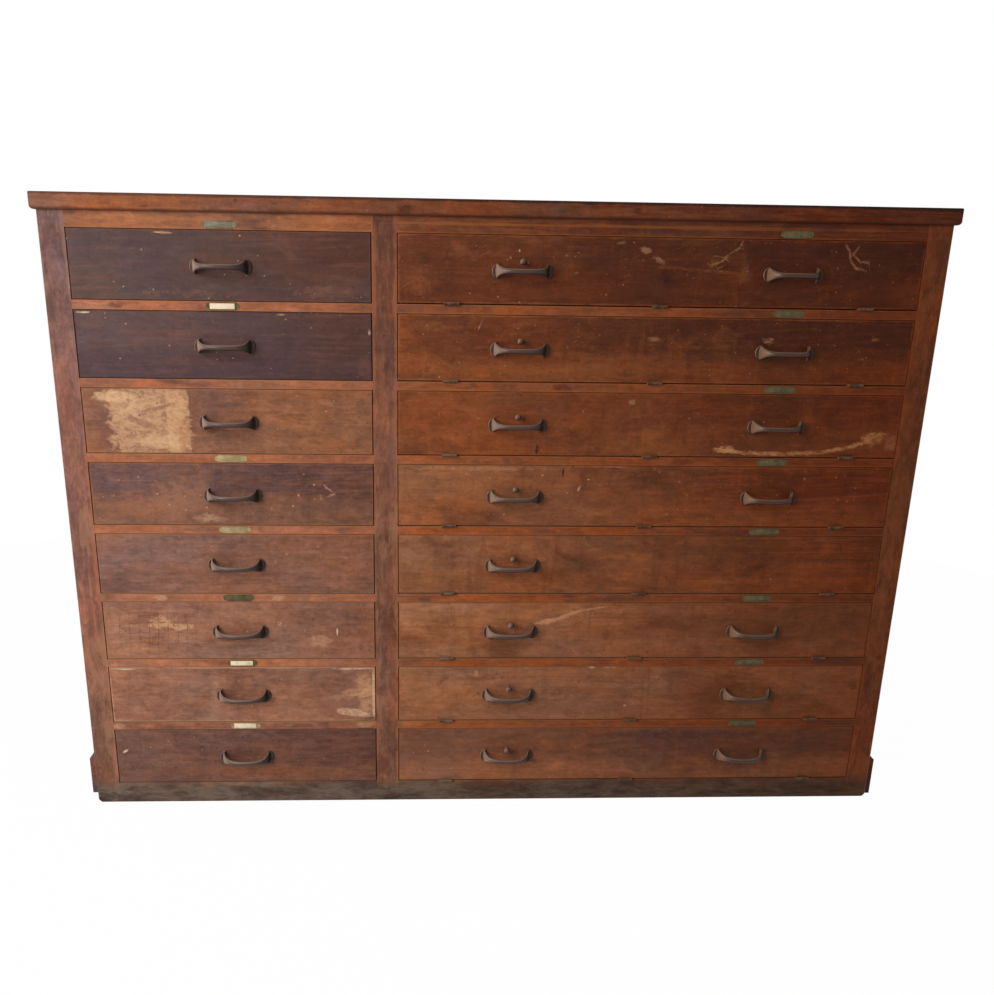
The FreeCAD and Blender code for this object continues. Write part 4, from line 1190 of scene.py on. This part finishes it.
def thumb_button(row):
    """A button turned from a profile in shares of its ball, with a neck and a rod behind it."""
    low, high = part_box("catch_button_%d" % row)
    centre = (low + high) / 2
    ball = (high.z - low.z) / 2
    middle = FRONT_Y - BUTTON_STAND - ball
    profile = [(out * ball, middle + back * ball) for out, back in BUTTON_PROFILE]
    profile += [(WAIST_SHARE * ball, FRONT_Y - 0.003), (FOOT_SHARE * ball, FRONT_Y - 0.0012),
                (FOOT_SHARE * ball, high.y), (0.0, high.y)]
    bm = bmesh.new()
    line = [bm.verts.new((radius, y, 0)) for radius, y in profile]
    edges = [bm.edges.new(pair) for pair in zip(line, line[1:])]
    bmesh.ops.spin(bm, geom=line + edges, cent=(0, 0, 0), axis=(0, 1, 0), angle=math.tau,
                   steps=BUTTON_STEPS, use_merge=True)
    bmesh.ops.remove_doubles(bm, verts=bm.verts, dist=1e-6)
    place = Vector((centre.x, 0, centre.z))
    made = finish_mesh("thumb_button_%d" % row, bm, place, BUTTON_IRON)
    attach(made, "catch button %d" % row)
    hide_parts("catch_button_%d" % row)


for row in range(1, ROWS + 1):
    thumb_button(row)

# ---------------------------------------------------------------- label holders
# Thin pressed brass channels with a round ear at each end, pinned to the rails. Most are green with
# age and empty; three on the left still hold a blank card.

LABEL_LENGTH = 0.049
EAR_RADIUS = 0.0052
EAR_CENTRE = LABEL_LENGTH / 2 + 0.0012
EAR_SIDES = 28
PIN_RADIUS = 0.0013
LABEL_HEIGHT = 0.0135
LABEL_PLATE = 0.0008
LABEL_LIP = 0.0016
LABEL_DEPTH = 0.0018
EAR_DISHING = 0.0002
PIN_CENTRE = EAR_CENTRE + 0.0014
BRASS_GLOSS = 0.25
BRASS_BUMP = 0.0001
CARD_BUMP = 0.00005
CARD_ROWS = (2, 7, 8)
CARD_INSET = 0.002
CARD_ARRIS = 0.00008
CARD_TILT = 0.004
CARD_TILT_ROW = 5
SMALL_X = (PULL_LOW.x + PULL_HIGH.x) / 2
WIDE_LABEL_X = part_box("drop_front_1")[1].x - WIDE_PULL_INSET
SOOT = paint(88, 76, 69)


def brass_material(name, seed, tone, aged):
    """Old brass under a green and brown patina, with soot in its pits."""
    made, shader, place = start_material(name)
    patina = cloud(shifted(place, seed), (90, 90, 90), 5.0, 0.65)
    grit = cloud(shifted(place, seed + 2), (700, 700, 700), 3.0, 0.6)
    colour = blend(between(patina, 0.38, 0.62), tone, aged)
    colour = marked(colour, ((grit, 0.55, 0.72, 0.5, SOOT),))
    finish(shader, colour, patina * 0.4 + 0.32, grit, BRASS_BUMP, strength=0.7, gloss=BRASS_GLOSS)
    shader.inputs["Metallic"].default_value = 0.20
    return made


def card_material():
    made, shader, place = start_material("card_paper")
    fibre = cloud(place, (500, 500, 500), 4.0, 0.6)
    stain = cloud(place, (70, 70, 70), 4.0, 0.6)
    colour = blend(between(stain, 0.42, 0.75), paint(242, 222, 190), paint(216, 190, 152))
    finish(shader, colour, 0.85, fibre, CARD_BUMP, strength=0.6)
    return made


BRASSES = (
    brass_material("label_brass_straw", 1.0, paint(176, 154, 112), paint(150, 132, 92)),
    brass_material("label_brass_grey", 2.0, paint(126, 114, 92), paint(100, 96, 78)),
    brass_material("label_brass_olive", 3.0, paint(100, 86, 54), paint(76, 70, 46)),
)
# The brass of the small holders by row. That of the third row is lost; the wide ones are all olive.
SMALL_BRASS = {1: 1, 2: 2, 4: 0, 5: 0, 6: 2, 7: 2, 8: 0}
WIDE_BRASS = 2


def label_holder(bm, x, z, kind):
    """A plate with a lip above and below and a round ear at each end, pinned through the ears."""
    before = set(bm.faces)
    half, rise = LABEL_LENGTH / 2, LABEL_HEIGHT / 2
    add_block(bm, (x - half, FRONT_Y - LABEL_PLATE, z - rise), (x + half, FRONT_Y, z + rise),
              0.0002)
    for side in (-1, 1):
        outer, inner = z + side * rise, z + side * (rise - LABEL_LIP)
        add_block(bm, (x - half, FRONT_Y - LABEL_DEPTH, min(outer, inner)),
                  (x + half, FRONT_Y - LABEL_PLATE / 2, max(outer, inner)))
        ear = Matrix.Translation((x + side * EAR_CENTRE, FRONT_Y - LABEL_PLATE * 0.45, z))
        faces = add_disc(bm, ear, EAR_RADIUS, LABEL_PLATE * 0.9, EAR_SIDES)[1]
        front = min(faces, key=lambda face: face.calc_center_median().y)
        bmesh.ops.inset_region(bm, faces=[front], thickness=0.0009, depth=-EAR_DISHING)
        pin = Vector((x + side * PIN_CENTRE, FRONT_Y - LABEL_PLATE * 0.7, z))
        pin = Matrix.Translation(pin) @ Matrix.Diagonal((1, 0.6, 1, 1))
        bmesh.ops.create_uvsphere(bm, u_segments=14, v_segments=8, radius=PIN_RADIUS, matrix=pin)
    for face in set(bm.faces) - before:
        face.material_index = kind


def label_card(bm, x, z, tilt):
    """A blank card slid into a holder, a little crooked."""
    reach = LABEL_LENGTH / 2 - CARD_INSET
    rise = LABEL_HEIGHT / 2 - LABEL_LIP * 0.7
    before = set(bm.verts)
    add_block(bm, (-reach, -LABEL_PLATE - 0.0005, -rise), (reach, -LABEL_PLATE - 0.0001, rise),
              CARD_ARRIS)
    made = list(set(bm.verts) - before)
    place = Matrix.Translation((x, FRONT_Y, z)) @ Matrix.Rotation(tilt, 4, "Y")
    bmesh.ops.transform(bm, matrix=place, verts=made)


holders, cards = bmesh.new(), bmesh.new()
for row in range(1, ROWS + 1):
    label_z = BASE_RAIL + (ROWS - row) * ROW_PITCH + OPENING + MID_RAIL / 2
    if row in SMALL_BRASS:
        label_holder(holders, SMALL_X, label_z, SMALL_BRASS[row])
    label_holder(holders, WIDE_LABEL_X, label_z, WIDE_BRASS)
    if row in CARD_ROWS:
        label_card(cards, SMALL_X - 0.001, label_z, CARD_TILT * (row - CARD_TILT_ROW))
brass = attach(finish_mesh("label_holders_brass", holders, Vector(), *BRASSES), "cabinet")
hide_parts("label_holders")
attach(finish_mesh("label_cards", cards, Vector(), card_material()), "cabinet")

# ---------------------------------------------------------------- strike plates
# Thin plates of the same black iron as the catch cases, let into the undersides of the rails, with
# a slot for each bolt.

dress(CASE_IRON, "strike_plates")
